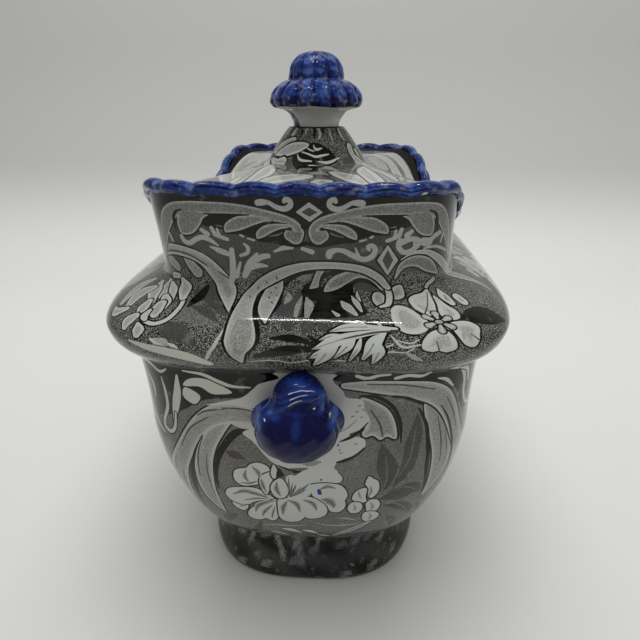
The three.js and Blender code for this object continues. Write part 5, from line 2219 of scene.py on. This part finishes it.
@dataclass(frozen=True)
class LugHandle:
    """A lug handle: a ball under a hooded leaf, with an ear at each side.

    FOLDS are lines across the hood, each with how high its fold stands and where the painted
    highlight along it starts and ends. GLOWS are lighter patches of the blue, partly thin places of the
    slip and partly painted sheen, and GLINTS small painted highlights of the glaze, each with its
    place, size and, for a glow, strength.
    """

    glazes: Glazes
    node: str
    turned: bool
    columns: int = 340
    rows: int = 240
    softness: float = 0.9
    shrink: float = 0.65

    HEART = (0.0, -75.5, 76.0)
    BALLS = (
        Ball((-0.3, -77.4, 72.9), (10.5, 9.25, 7.9)), Ball((-0.5, -73.6, 73.5), (11.9, 4.7, 7.1)),
        Ball((0.2, -75.2, 80.0), (7.0, 6.9, 6.9)),
    )
    FOLDS = (
        (((-9.6, 75.2), (-7.6, 77.4), (-5.5, 78.8), (-4.3, 79.3), (-1.6, 81.1), (-0.2, 82.0), (1.5, 82.4),
          (3.4, 82.2)), 0.5, -2.4, 1.9),
        (((-3.6, 81.2), (-1.4, 82.3), (0.6, 83.1), (2.5, 83.3), (4.0, 83.0)), 0.4, -2.0, 3.0),
        (((-3.4, 82.3), (-2.0, 83.3), (0.6, 84.1), (2.0, 84.0), (3.6, 83.6), (5.7, 81.8), (6.9, 79.4),
          (7.4, 77.4)), 0.45, -2.4, 4.4),
    )
    GLOWS = (
        (-9.4, 76.6, 1.2, 1.7, 0.8), (8.5, 77.0, 1.0, 1.5, 0.9), (-5.0, 78.6, 1.6, 0.8, 0.4),
        (0.1, 77.0, 1.6, 2.2, 0.5), (0.2, 71.6, 0.9, 2.8, 0.26), (0.4, 85.2, 2.6, 0.9, 0.15),
        (5.6, 80.6, 0.6, 2.0, 0.3), (0.0, 65.8, 6.0, 0.9, 0.25),
    )
    GLINTS = ((4.0, 80.5, 0.5), (7.2, 77.8, 0.35), (8.3, 77.9, 0.4), (-7.2, 77.4, 0.25))

    def build(self) -> None:
        """Make the lug and hide the CAD's."""
        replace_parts(self.lug(), self.node)

    def lug(self) -> bpy.types.Object:
        """Lug as one surface seen from its heart, with the folds of the leaf raised on it.

        Returns:
            The new piece.
        """
        heart = np.array(self.HEART)
        turn = np.linspace(0, 2 * math.pi, self.columns, endpoint=False)
        tilt = np.linspace(0.0, math.pi, self.rows)
        tilts, turns = np.meshgrid(tilt, turn, indexing="ij")
        ways = np.stack([
            np.sin(tilts) * np.cos(turns), -np.cos(tilts), np.sin(tilts) * np.sin(turns),
        ], -1).reshape(-1, 3)
        reach = np.sort(np.stack([ball.exit(heart, ways) for ball in self.BALLS]), axis=0)
        far = reach[2]
        melted = self.softness * np.log(np.exp((reach - far) / self.softness).sum(0))
        places = heart + ways * (far + melted - self.shrink)[:, None]
        x, z = places[:, 0], places[:, 2]
        front = 1 - eased(tilts.ravel(), 1.3, 1.75)
        fold, crest, glint = self.folds(x, z)
        dents = 0.1 * np.sin(1.1 * x + 0.7 * z) + 0.08 * np.sin(1.9 * z - 1.3 * x + 1.0)
        seam = np.clip((far - reach[1]) / 2.2, 0.0, 1.0)
        # The fold crests are lightened: thin blue on the crests, and painted sheen along them.
        depth = self.depth(x, z) - 0.3 * crest * front - 0.16 * (1 - seam) ** 2
        places = places + ways * ((fold + dents * 0.6) * front)[:, None]
        if self.turned:
            places = places * (-1.0, -1.0, 1.0)
        # The bare attribute carries only painted highlights here: glaze white along the folds and at the
        # glints.
        return make_mesh(
            self.node + "_glaze", places, grid_faces(self.rows, self.columns)[:, ::-1], self.glazes.cobalt,
            "bowl", "cobalt_glaze", depth=("POINT", depth), bare=("POINT", 0.56 * glint * front),
            still=("POINT", np.ones(len(places))),
        )

    def folds(self, x: Array, z: Array) -> tuple[Array, Array, Array]:
        """How high the folds stand, how much the blue lightens on their crests, as thin slip and painted
        sheen, and how much painted highlight each place gets.

        Args:
            x: Places across the lug.
            z: Their heights.

        Returns:
            The three values at each place.
        """
        fold, crest, glint = np.zeros(len(x)), np.zeros(len(x)), np.zeros(len(x))
        for knots, high, start, end in self.FOLDS:
            line = smooth_line(np.array(knots), 0.25)
            gaps = np.hypot(x[:, None] - line[None, :, 0], z[:, None] - line[None, :, 1])
            nearest = gaps.argmin(1)
            away = gaps[np.arange(len(x)), nearest]
            over = z > line[nearest, 1] + 0.15 * (x - line[nearest, 0])
            side = np.where(over, away, -away)
            fold = np.maximum(fold, high * (eased(side, -0.35, 0.3) * (1 - eased(side, 0.6, 3.2))))
            crest = np.maximum(crest, bell(side, 0.2, 0.4))
            lit = eased(x, start, start + 0.8) * (1 - eased(x, end - 0.8, end))
            glint = np.maximum(glint, lit * bell(side, 0.15, 0.16))
        for across, up, wide in self.GLINTS:
            glint = np.maximum(glint, 1.3 * bell(x, across, wide) * bell(z, up, 0.35))
        return fold, crest, glint

    def depth(self, x: Array, z: Array) -> Array:
        """Depth of the blue, from its thin places (0) to where it pools (1).

        Args:
            x: Places across the lug.
            z: Their heights.

        Returns:
            One depth per place.
        """
        middle = eased(np.hypot((x - 0.2) / 10.2, (z - 74.2) / 9.0), 0.35, 1.1)
        body = 1.1 - 0.4 * middle - 0.36 * eased(-z, -70.6, -67.0)
        hood = 0.86 - 0.2 * bell(x, -0.5, 2.6) * bell(z, 85.2, 1.3) - 0.22 * eased(np.abs(x), 4.0, 6.6)
        depth = mix(body, hood, eased(z, 79.4 + 0.3 * x, 82.2 + 0.3 * x))
        # The glows lighten the blue: partly thin slip and partly painted sheen on the ears and the ball.
        for across, up, wide, tall, strength in self.GLOWS:
            depth = depth - strength * bell(x, across, wide) * bell(z, up, tall)
        return depth


class CoverShape:
    """Outside of the cover, as a height over its plan."""

    COLLAR = Plan(8.8, 8.8, 2.0)
    SHOULDER = Plan(16.0, 16.0, 2.0)
    CROWN = Plan(EDGE.half_width - 5.2, EDGE.half_length - 5.2, 5.0)
    COLLAR_HEIGHT, CROWN_HEIGHT = 137.0, 126.6
    EDGE_TOP = SEAT_HEIGHT + 1.8
    END_DROP, SIDE_DROP = 0.9, 8.0
    HALVINGS = 26

    @staticmethod
    def shares(level: Array) -> tuple[Array, ...]:
        """Share of each of the three zones that a level has passed."""
        return tuple(np.clip(level - zone, 0.0, 1.0) for zone in range(3))

    def plan(self, level: Array) -> Plan:
        """Outline at a level: 0 the collar's top, 1 its foot, 2 the crown's edge and 3 the seat.

        Args:
            level: One level or many.

        Returns:
            The outline there.
        """
        low, middle, high = self.shares(level)
        out, _ = rounded_quarter(high, 2.0)
        return self.COLLAR.mixed(self.SHOULDER, low).mixed(self.CROWN, middle).mixed(EDGE, out)

    def level(self, x: Array, y: Array) -> Array:
        """Level at which the outline passes through a place of the plan, found by halving.

        Args:
            x: The places' x in mm.
            y: Their y in mm.

        Returns:
            One level per place.
        """
        low, high = np.zeros_like(x), np.full_like(x, 3.0)
        for _ in range(self.HALVINGS):
            middle = (low + high) / 2
            outside = self.plan(middle).reach(x, y) > 1.0
            low, high = np.where(outside, middle, low), np.where(outside, high, middle)
        return (low + high) / 2

    def height(self, level: Array, bearing: Array) -> Array:
        """Height in mm at a level, in the direction of a bearing.

        Args:
            level: The levels.
            bearing: The bearings.

        Returns:
            One height each.
        """
        low, middle, high = self.shares(level)
        _, along = EDGE.point(bearing)
        end_share = eased(np.abs(along) / EDGE.half_length, 0.1, 0.9)
        crown = mix(self.COLLAR_HEIGHT, self.CROWN_HEIGHT, low**1.15)
        drop = mix(self.SIDE_DROP, self.END_DROP, end_share) * middle
        _, up = rounded_quarter(high, 2.0)
        return mix(crown - drop, self.EDGE_TOP, up)

    def lift(self, chart: Array) -> Array:
        """Points in space of rows of plan places.

        Args:
            chart: One row per place.

        Returns:
            One point per place.
        """
        x, y = chart[:, 0], chart[:, 1]
        level = self.level(x, y)
        plan = self.plan(level)
        bearing = np.arctan2(y / plan.half_length, x / plan.half_width)
        return np.stack([x, y, self.height(level, bearing)], 1)


def collar_print(dashes: int = 40, start: float = 9.0) -> Print:
    """Radiating dashes of the cover's collar, dark and cream in turn.

    Args:
        dashes: How many there are round the collar.
        start: How far from the middle they start, in mm.

    Returns:
        The drawing, in plan.
    """
    art = Print()
    tones = (Tone.INK, Tone.PALE, Tone.INK, Tone.SOFT, Tone.NIGHT)
    for number in range(dashes):
        turn = number * 2 * math.pi / dashes + 0.05 * math.sin(5.0 * number)
        far = 11.3 + 0.9 * math.sin(2.3 * number) + 0.7 * math.sin(5.1 * number)
        wide = 1.0 + 0.35 * math.sin(3.7 * number)
        bend = turn + 0.06 * math.sin(1.9 * number)
        course = ((start, turn, 0.7), (mix(start, far, 0.5), bend, 1.0), (far, turn, 0.3))
        knots = tuple(
            (reach * math.sin(way), -reach * math.cos(way), share * wide) for reach, way, share in course
        )
        art.lay(Blade(knots, 0.5), tones[number % len(tones)])
    return art


def cover_end() -> Print:
    """Leaves at one end of the cover, with the leaf pair that climbs its collar.

    Returns:
        The drawing, in mm in plan.
    """
    art = Print()
    art.lay(Lobe(((-6.5, -13), (-5.6, -19), (-3.6, -26.5), (0.4, -29), (3, -25), (3.6, -17), (7, -13.4),
                  (0, -12))),
            Tone.INK)
    art.lobes(
        Tone.DEEP,
        ((5.6, -17), (6.2, -23.6), (8, -25.4), (9.4, -22), (9, -15), (7.4, -13.6)),
        ((8.8, -12.3), (9.8, -10.5), (11.3, -9.6), (12.3, -10.5), (11.8, -20), (9.7, -17.4)),
        ((-9.5, -13.5), (-9.8, -22), (-7.6, -28), (-6.2, -22), (-6.6, -14)),
    )
    art.stroke((2.2, -24, 0.4), (2.6, -28, 1.3), (3.4, -32, 0.6), tone=Tone.GREY)
    art.stroke((3.6, -31, 0.6), (4.8, -38, 1.6), (7.8, -46, 0.8), tone=Tone.DEEP)
    art.petals(
        0.65,
        ((-16.1, -53.8), (-15.5, -49.3), (-15.2, -38.6), (-14.9, -26.1), (-13.9, -16.7), (-12.7, -14.6),
         (-11.2, -20.2), (-10.3, -26.2), (-10.3, -34.4), (-11.5, -41.8), (-12.7, -49.3), (-13.2, -53.7),
         (-14.5, -54.6)),
        ((-13.9, -54.4), (-12.2, -47.8), (-10.7, -40.9), (-7.9, -36), (-4.4, -34.2), (-0.9, -34.6),
         (1.3, -37), (0.3, -42), (-3.5, -45.7), (-7.2, -49.4), (-10.2, -53.8), (-12, -55.2)),
        ((-10.4, -54.6), (-8.1, -53.2), (-6, -52.2), (-4.4, -53.2), (-5.6, -54.9), (-8.7, -55.4)),
        ((1, -47.5), (1.9, -44.2), (3.9, -43), (6.4, -44.5), (6.8, -47.9), (6.1, -50.7), (4.3, -51.7),
         (2.3, -50.5)),
        ((5, -29.5), (6.9, -28.4), (10, -31.3), (13.7, -36.5), (15.6, -43.4), (16.5, -49.8), (14.2, -50.4),
         (10.8, -47), (8, -40.5), (6.3, -35.8)),
        ((12.9, -25), (13.4, -19.9), (15, -17.2), (16.7, -24.3), (18.3, -33.4), (19.6, -43.1), (19.6, -47.5),
         (17.9, -50.9), (16.4, -49.3), (15.2, -43.6), (13.7, -34), (12.9, -28.8)),
    )
    spines = (
        ((-12.9, -18, 0.6), (-12.8, -28, 2), (-13.2, -38, 1.8), (-14.2, -49, 1)),
        ((-2.2, -36.6, 1.2), (-5.6, -39.4, 3.6), (-8.8, -44.6, 2.8), (-12, -51.6, 0.8)),
        ((3.8, -45, 0.6), (4.4, -48, 1.8), (4.6, -50.4, 0.5)),
        ((7.2, -31, 0.6), (9.6, -36, 2.6), (12.2, -42.4, 2.4), (14.4, -48.6, 0.6)),
        ((14.9, -20, 0.5), (15, -28, 1.8), (16.2, -37, 1.9), (17.9, -47, 0.7)),
    )
    art.folds(spines, (1.5, Tone.PALE), (1, Tone.SOFT))
    for corners in (
        ((-13.2, -5.1), (-11.1, -5.9), (-8.7, -7.6), (-5.8, -9.4), (-6.4, -10.1), (-8.6, -9.7), (-10.9, -8.4),
         (-12.5, -7)),
        ((-12.8, -7), (-10.7, -8.3), (-8.2, -9.4), (-5.1, -10.8), (-1.6, -12.2), (-3.3, -12.9), (-5.8, -12.8),
         (-8.9, -11.6), (-11.2, -9.5)),
        ((-14.1, -6), (-12.6, -8.3), (-11.5, -9.9), (-9.3, -11.4), (-8.6, -12.7), (-9.8, -12.9),
         (-12.2, -10.8), (-13.6, -8.4)),
        ((10.1, -6.9), (11, -6.2), (11.6, -7), (12.3, -7.6), (13.6, -6.6), (15.4, -5.6), (16, -9.4),
         (14.5, -10.5), (12.9, -9.6), (11.7, -9.4), (10.6, -9), (10, -8.2)),
    ):
        art.white(Lobe(corners, 0.4), 0.35)
        art.lay(Lobe(corners, 0.4), Tone.SOFT, 0.42)
    # Painted highlights: thin wavy strokes of bare glaze where the collar meets the crown.
    art.strokes(
        Tone.BARE,
        ((-0.2, -12.5, 0.3), (0.2, -13.1, 0.5), (1, -13.2, 0.5), (2.4, -12.8, 0.2)),
        ((-3.8, -13.2, 0.2), (-1.6, -14, 0.3), (0.5, -14.5, 0.4), (2.5, -14.1, 0.4), (4.5, -13.4, 0.2)),
        ((-5.1, -13.2, 0.2), (-4.6, -14.2, 0.45), (-3.1, -14.9, 0.4), (-0.6, -15.3, 0.2)),
        ((1.3, -15.3, 0.2), (3.7, -15.1, 0.45), (5.7, -14.2, 0.45), (7.5, -12.7, 0.2)),
        ((-2.6, -12.6, 0.15), (-1.4, -13.2, 0.3), (0, -13.6, 0.2)),
        ((-1.5, -15.9, 0.15), (1, -16.1, 0.3), (3.4, -16, 0.15)),
    )
    return art


def cover_sides() -> Print:
    """Broad pale acanthus along the cover's left side and banded scroll along its right.

    Returns:
        The drawing, in mm in plan.
    """
    art = Print()
    leaf = Lobe((
        (-19.7, -54), (-23, -40), (-27, -22), (-31, -5), (-33.4, 15), (-33.4, 30), (-30, 42), (-22, 47),
        (-15, 46), (-13, 30), (-14, 10), (-14.6, -8), (-14.4, -20), (-15.4, -38), (-16.8, -52),
    ), 1.2)
    art.edged(leaf, 1, Tone.SOFT, 0.6)
    art.strokes(
        Tone.GREY,
        ((-17.6, -49, 0.8), (-17, -33, 2), (-16, -18, 2.2), (-15.2, -8, 0.8)),
        ((-19.2, -46, 0.8), (-21.8, -32, 1.8), (-26, -10, 2.2), (-28.8, 10, 2.4), (-28.8, 24, 2.4),
         (-28, 31, 1)),
    )
    art.stroke((-28.2, 18.4, 1), (-25.6, 18.8, 3), (-22.6, 17.6, 0.6), tone=Tone.STIPPLE)
    art.stroke((-26, 31, 2), (-22, 31.4, 6), (-17, 30.6, 3), tone=Tone.GREY)
    art.strokes(
        Tone.BARE,
        ((-18.6, -52, 0.9), (-18.2, -47, 1.2), (-17.9, -40, 0.4)),
        ((-19.6, -42, 0.4), (-22, -24, 1.4), (-22, 0, 1.6), (-20.6, 16, 0.5)),
        ((-20.3, -52, 0.6), (-24, -36, 1.2), (-28.4, -18, 1.4), (-32, 2, 1.6), (-32.8, 20, 2),
         (-31.4, 34, 2.4), (-27, 42.4, 3), (-19, 45, 3)),
    )
    for knots in (
        ((27, -43.5, 3.2), (30.8, -25, 3.4), (32.3, -8, 3.4), (32.2, 10, 3.8), (31.6, 24, 4.4), (29, 34, 8),
         (22, 41, 13), (13, 42, 12)),
        ((24, -43, 0.8), (25.6, -30, 2), (27.2, -15, 2.8), (27.6, 0, 3.4), (27, 14, 4.2), (24, 22.6, 6.4),
         (19.5, 28, 7.6), (14, 29.5, 7)),
        ((12.8, -5.6, 1.4), (15.6, -7.6, 2), (17.2, -14, 2.2), (19.2, -24, 2.2), (21.2, -33, 1.9),
         (23, -43.5, 1)),
    ):
        art.edged(Blade(knots, 1), 0.8, Tone.SOFT, 0.6)
    art.stroke((27.4, 28, 0.4), (29.7, 21, 1.5), (30, 8, 1.6), (29.8, -8, 1.5), (28.4, -24, 1.3),
               (25, -43, 1),
               tone=Tone.DEEP)
    lens = Lobe(((17.3, 16.7), (19.4, 20.7), (21.9, 18.9), (23.6, 16.4), (24.4, 10.8), (23.4, 7), (21, 4),
                 (18.6, 7), (17.4, 12)), 0.6)
    art.lay(lens, Tone.INK, -0.9)
    art.lay(lens, Tone.GREY)
    art.lay(Lobe(((16.8, -18), (18.8, -29.7), (21, -40), (22.2, -45), (20.2, -46), (19.9, -39.8),
                  (18.6, -31.6), (17, -22.2))), Tone.GREY)
    return art


def cover_print() -> Print:
    """Print of the cover in plan: both ends alike, turned about its middle, and its two sides.

    Returns:
        The drawing, in mm in plan.
    """
    whole = Print()
    whole.add(cover_sides())
    whole.add(collar_print())
    end = cover_end()
    whole.add(end.placed(lambda outline: -outline))
    whole.add(end)
    return whole


@dataclass(frozen=True)
class Cover:
    """The lift-off cover: printed dome, white underside and white flange."""

    glazes: Glazes
    columns: int = 300
    wall: float = 3.4
    flange_wall: float = 2.8
    flange_depth: float = 9.0
    flange_gap: float = 0.8
    hollow_to: float = 0.7
    night_within: float = 15.4

    def build(self) -> None:
        """Make every piece of the cover and hide the CAD's."""
        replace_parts(self.dome(), "cover_shell")
        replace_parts(self.underside(), "cover_shell")
        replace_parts(self.flange(), "cover_flange")

    def dome(self) -> bpy.types.Object:
        """Outside of the cover with the print cut into it.

        Returns:
            The new piece.
        """
        shape, bearing = CoverShape(), RIM_GIRTH.even(self.columns)
        levels = np.concatenate([
            np.linspace(0, 1, 12)[:-1], np.linspace(1, 2, 30)[:-1], np.linspace(2, 2.985, 18),
        ])
        rings = [np.stack(shape.plan(level).point(bearing), 1) for level in levels]
        cut = cut_chart(cover_print(), np.vstack(rings[1:-1]), [rings[-1], rings[0]], self.ground, (1,))
        normals = normals_of(shape.lift, cut.chart, 0.04)
        places, faces, whole, normals = welded(shape.lift(cut.chart), cut.triangles, normals)
        return make_mesh(
            "cover_dome", places, faces, self.glazes.cover, "cover", "cover_glaze", normals,
            tone=("FACE", cut.tones[whole]),
        )

    def ground(self, chart: Array) -> Array:
        """Tone of the dome's ground: nearly black on the collar and stippled on the crown."""
        away = np.hypot(chart[:, 0], chart[:, 1])
        return np.where(away < self.night_within, Tone.NIGHT.value, Tone.STIPPLE.value)

    def underside(self) -> bpy.types.Object:
        """Vertical edge, seat and hollow of the cover.

        Returns:
            The new piece.
        """
        shape, bearing = CoverShape(), RIM_GIRTH.even(self.columns)
        seat = SEAT_HEIGHT + 0.02
        levels: list[tuple[Plan, Array | float]] = [
            (EDGE, shape.EDGE_TOP + 0.2), (EDGE, SEAT_HEIGHT + 0.5), (EDGE.grown(-0.4), seat),
            (MOUTH.grown(-self.flange_gap - self.flange_wall), seat),
        ]
        for level in np.linspace(2.0, self.hollow_to, 10):
            levels.append((shape.plan(level).grown(-self.wall), shape.height(level, bearing) - self.wall))
        middle = shape.height(self.hollow_to, bearing[:1])[0] - self.wall
        places = np.vstack([stacked(levels, bearing), [[0.0, 0.0, middle]]])
        faces = grid_faces(len(levels), self.columns).tolist()
        faces += fan(len(levels) - 1, self.columns, len(places) - 1)
        return make_mesh("cover_underside", places, faces, self.glazes.white, "cover", "white_glaze")

    def flange(self) -> bpy.types.Object:
        """Strip under the cover that keeps it in the mouth.

        Returns:
            The new piece.
        """
        outer = MOUTH.grown(-self.flange_gap - 0.05)
        inner = MOUTH.grown(-self.flange_gap - self.flange_wall)
        top, bottom = SEAT_HEIGHT + 0.1, SEAT_HEIGHT - self.flange_depth
        levels = [
            (outer, top), (outer, bottom + 0.8), (outer.grown(-0.25), bottom + 0.25),
            (outer.grown(-0.8), bottom + 0.02), (inner.grown(0.8), bottom + 0.02),
            (inner.grown(0.25), bottom + 0.25), (inner, bottom + 0.8), (inner, top),
        ]
        places = stacked(levels, RIM_GIRTH.even(self.columns))
        faces = grid_faces(len(levels), self.columns)
        return make_mesh("cover_lip", places, faces, self.glazes.white, "cover", "white_glaze")


@dataclass(frozen=True)
class Finial:
    """The knob: a flared stem, a ring of petals and a ribbed bud.

    RING is the outline of the petals, as radii and heights. PAINTED_GLINTS are painted highlights of
    the glaze on the bud and the ring, each with its bearing, height, width and size up.
    """

    glazes: Glazes
    columns: int = 384
    petals: int = 16
    ribs: int = 12
    foot: float = 137.0
    stem_top: float = 142.4
    blue_from: float = 143.05
    petal_top: float = 150.9
    top: float = 159.12
    foot_radius: float = 7.25
    stem_radius: float = 12.0
    bud_radius: float = 8.75

    RING = (
        (12.0, 142.5), (13.5, 142.95), (14.5, 144.1), (14.75, 145.3), (14.2, 146.9), (12.9, 148.7),
        (10.7, 150.2), (8.9, 150.9),
    )
    PAINTED_GLINTS = (
        (-1.57, 157.0, 0.34, 0.8), (-1.56, 155.6, 0.2, 0.6), (-1.98, 148.2, 0.1, 0.5),
        (-1.62, 148.4, 0.16, 0.6), (-1.3, 148.6, 0.14, 0.5),
    )

    def build(self) -> None:
        """Make the knob and hide the CAD's."""
        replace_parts(self.knob(), "finial")

    def ring(self, radius: float, height: float, lobes: int, depth: float) -> Array:
        """Round row of points with narrow notches between full lobes.

        Args:
            radius: The row's radius.
            height: Its height.
            lobes: How many lobes it has.
            depth: How deep the notches are.

        Returns:
            One point per column.
        """
        angle = np.linspace(0, 2 * math.pi, self.columns, endpoint=False)
        notch = depth * (1 - np.abs(np.sin(lobes * angle / 2)) ** 0.55)
        wave = np.sin(5 * angle + height) + np.sin(11 * angle - 1.7 * height)
        wave = wave + 0.4 * np.sin(23 * angle + 2.6 * height)
        reach = radius - notch + 0.08 * radius / 14.0 * wave
        return np.stack([-reach * np.sin(angle), reach * np.cos(angle), np.full_like(angle, height)], 1)

    def surface(self) -> Array:
        """Rows of points of the stem, the petals and the bud, from below to the top.

        Returns:
            The rows of points, one after the other.
        """
        rows = []
        for share in np.linspace(0, 1, 16)[:-1]:
            out, up = rounded_quarter(share, 2.0)
            radius = mix(self.foot_radius, self.stem_radius, up)
            rows.append(self.ring(radius, mix(self.foot, self.stem_top, out), self.petals, 0.0))
        for radius, height in smooth_line(np.array(self.RING), 0.32):
            rows.append(self.ring(radius, height, self.petals, 0.95 * eased(radius, 9.0, 13.5)))
        for share in np.linspace(0.985, 0.0, 26):
            out, up = rounded_quarter(share, 2.45)
            height = mix(self.top, self.petal_top, up) - 0.05
            rows.append(self.ring(self.bud_radius * out, height, self.ribs, 0.7 * out))
        return np.vstack(rows)

    def depth(self, angle: Array, z: Array) -> Array:
        """Depth of the blue, deepest between the ribs and the petals and, as painted shade, under the ring of
        petals.

        Args:
            angle: The points' bearings.
            z: Their heights.

        Returns:
            One depth per point.
        """
        ribs = np.abs(np.sin(self.ribs * (angle - math.pi / 2) / 2)) ** 0.6
        petals = np.abs(np.sin(self.petals * (angle - math.pi / 2) / 2)) ** 0.6
        # Painted shade: the blue is deeper under the ring of petals.
        under = 1 - eased(z, 143.0, 146.4)
        swirl = 0.36 * np.sin(2.0 * angle + 1.1 * z) * np.sin(0.9 * z - 3.0 * angle)
        swirl = swirl + 0.08 * np.sin(9.0 * angle + 2.2 * z)
        bud = 0.72 - 0.5 * ribs + 0.5 * (1 - eased(z, self.petal_top, 152.6)) + swirl
        depth = np.where(z > self.petal_top, bud, 0.9 - 0.72 * petals + 0.7 * under + 0.6 * swirl)
        return np.where(z < self.foot + 0.45, 1.3, depth)

    def bare(self, angle: Array, z: Array) -> Array:
        """How bare the knob is: the white stem with one run of blue, and the painted highlights on the bud
        and the ring.

        Args:
            angle: The points' bearings.
            z: Their heights.

        Returns:
            One share per point: 0 is blue and 1 is bare.
        """
        line = self.blue_from + 0.12 * np.sin(3 * angle + 1.0) + 0.1 * np.sin(7 * angle)
        bare = 1 - eased(z - line, -0.25, 0.25)
        away = np.abs(angle + 2.56) / (0.1 + 0.14 * (1 - eased(z, 137.5, 141.5)))
        bare = np.where((away < 1.0) & (z < 142.0), 0.0, bare)
        bare = np.where(z < self.foot + 0.45, 0.0, bare)
        broken = eased(np.sin(57 * angle + 5 * z) * np.sin(9 * z - 23 * angle), 0.0, 0.35)
        # Painted highlights: broken specks of glaze white on the front of the bud and the ring.
        for turn, height, wide, tall in self.PAINTED_GLINTS:
            bare = np.maximum(bare, 0.75 * bell(angle, turn, wide) * bell(z, height, tall) * broken)
        return bare

    def knob(self) -> bpy.types.Object:
        """Knob as one turned surface, blue above the stem.

        Returns:
            The new piece.
        """
        places = self.surface()
        angle, z = np.arctan2(places[:, 1], places[:, 0]), places[:, 2]
        return make_mesh(
            "knob", places, grid_faces(len(places) // self.columns, self.columns), self.glazes.cobalt,
            "cover", "cobalt_glaze",
            depth=("POINT", self.depth(angle, z)), bare=("POINT", self.bare(angle, z)),
        )


@dataclass(frozen=True)
class Lamp:
    """Rectangular light aimed at a point.

    Attributes:
        name: The light's name.
        place: Where it hangs, in metres.
        aim: The point that it faces.
        size: Its two sizes, in metres.
        power: Its power in watts.
        mirrored_in_glaze: Whether the glaze mirrors it.
    """

    name: str
    place: tuple[float, float, float]
    aim: tuple[float, float, float]
    size: tuple[float, float]
    power: float
    mirrored_in_glaze: bool = False

    def hang(self) -> None:
        """Put the light in the scene."""
        light = bpy.data.lights.new(self.name, "AREA")
        light.shape = "RECTANGLE"
        light.size, light.size_y = self.size
        light.energy = self.power
        lamp = bpy.data.objects.new(self.name, light)
        lamp.location = self.place
        lamp.rotation_euler = (Vector(self.aim) - Vector(self.place)).to_track_quat("-Z", "Y").to_euler()
        lamp.visible_glossy = self.mirrored_in_glaze
        bpy.context.collection.objects.link(lamp)


@dataclass(frozen=True)
class Studio:
    """Pale paper sweep, soft overhead light and the camera of the photograph."""

    floor_back: float = 0.27
    sweep_radius: float = 0.2
    lens: float = 31.5
    eye: tuple[float, float, float] = (0.01095, -0.1899, 0.14457)
    pitch_down: float = 21.31
    yaw: float = 2.97

    LAMPS = (
        Lamp("key_light", (0.0, -0.08, 0.95), (0.0, -0.06, 0.0), (0.8, 0.8), 4.9),
        Lamp("strip_light", (0.004, -0.05, 0.75), (0.004, -0.05, 0.0), (0.28, 0.004), 0.5, True),
        Lamp("fill_light", (0.2, -0.75, 0.55), (0.0, 0.0, 0.07), (0.7, 0.5), 0.85),
    )

    def build(self) -> None:
        """Make the floor, the lights, the world and the camera."""
        self.floor()
        for lamp in self.LAMPS:
            lamp.hang()
        self.world()
        self.camera()

    def floor(self) -> None:
        """Sweep of pale paper that curves up behind the bowl."""
        profile = [(-0.9, 0.0), (self.floor_back, 0.0)]
        for turn in np.radians(np.linspace(5, 90, 18)):
            out, up = math.sin(turn), 1 - math.cos(turn)
            profile.append((self.floor_back + self.sweep_radius * out, self.sweep_radius * up))
        profile.append((self.floor_back + self.sweep_radius, 1.2))
        points = [(x, y, z) for x in (-1.2, 1.2) for y, z in profile]
        count = len(profile)
        faces = [(i, i + count, i + count + 1, i + 1) for i in range(count - 1)]
        mesh = bpy.data.meshes.new("sweep")
        mesh.from_pydata(points, [], faces)
        mesh.shade_smooth()
        mesh.materials.append(self.paper())
        sweep = bpy.data.objects.new("sweep", mesh)
        bpy.context.collection.objects.link(sweep)

    @staticmethod
    def paper() -> bpy.types.Material:
        """Matt paper with painted light falloff: a little greyer in front and where it curves up.

        Returns:
            The finished material.
        """
        nodes = Nodes("paper")
        place = nodes.add("SeparateXYZ", {"Vector": nodes.add("TexCoord").outputs["Object"]})
        # Painted light falloff: the paper is darker in front, and painted shade greys it up the curve.
        back = nodes.ranged(place.outputs["Y"], -0.15, 0.24)
        floor = nodes.blend(back, linear("#e6e6e3"), linear("#fbfbf9"))
        shade = nodes.blend(nodes.ranged(place.outputs["Z"], 0.0, 0.09), floor, linear("#d2d2d0"))
        nodes.put(nodes.surface.inputs["Base Color"], shade)
        nodes.put(nodes.surface.inputs["Roughness"], 0.6)
        return nodes.material

    @staticmethod
    def world() -> None:
        """Even pale grey surroundings."""
        world = bpy.data.worlds.new("studio")
        world.use_nodes = True
        background = world.node_tree.nodes["Background"]
        background.inputs["Color"].default_value = linear("#b9bab8")
        background.inputs["Strength"].default_value = 0.5
        bpy.context.scene.world = world
        bpy.context.scene.view_settings.view_transform = "Standard"

    def camera(self) -> None:
        """Camera that was fitted to the photograph's outlines."""
        camera = bpy.data.objects.new("camera", bpy.data.cameras.new("camera"))
        camera.data.lens = self.lens
        camera.location = self.eye
        camera.rotation_euler = (math.radians(90 - self.pitch_down), 0.0, math.radians(self.yaw))
        bpy.context.collection.objects.link(camera)
        bpy.context.scene.camera = camera


def main() -> None:
    """Build the sugar bowl and its studio."""
    logging.basicConfig(level=logging.INFO, format="%(message)s")
    glazes = Glazes()
    parts = (
        Bowl(glazes), FootRing(glazes), LugHandle(glazes, "front_handle", False),
        LugHandle(glazes, "back_handle", True), Cover(glazes), Finial(glazes), Studio(),
    )
    for part in parts:
        part.build()


if __name__ == "__main__":
    main()
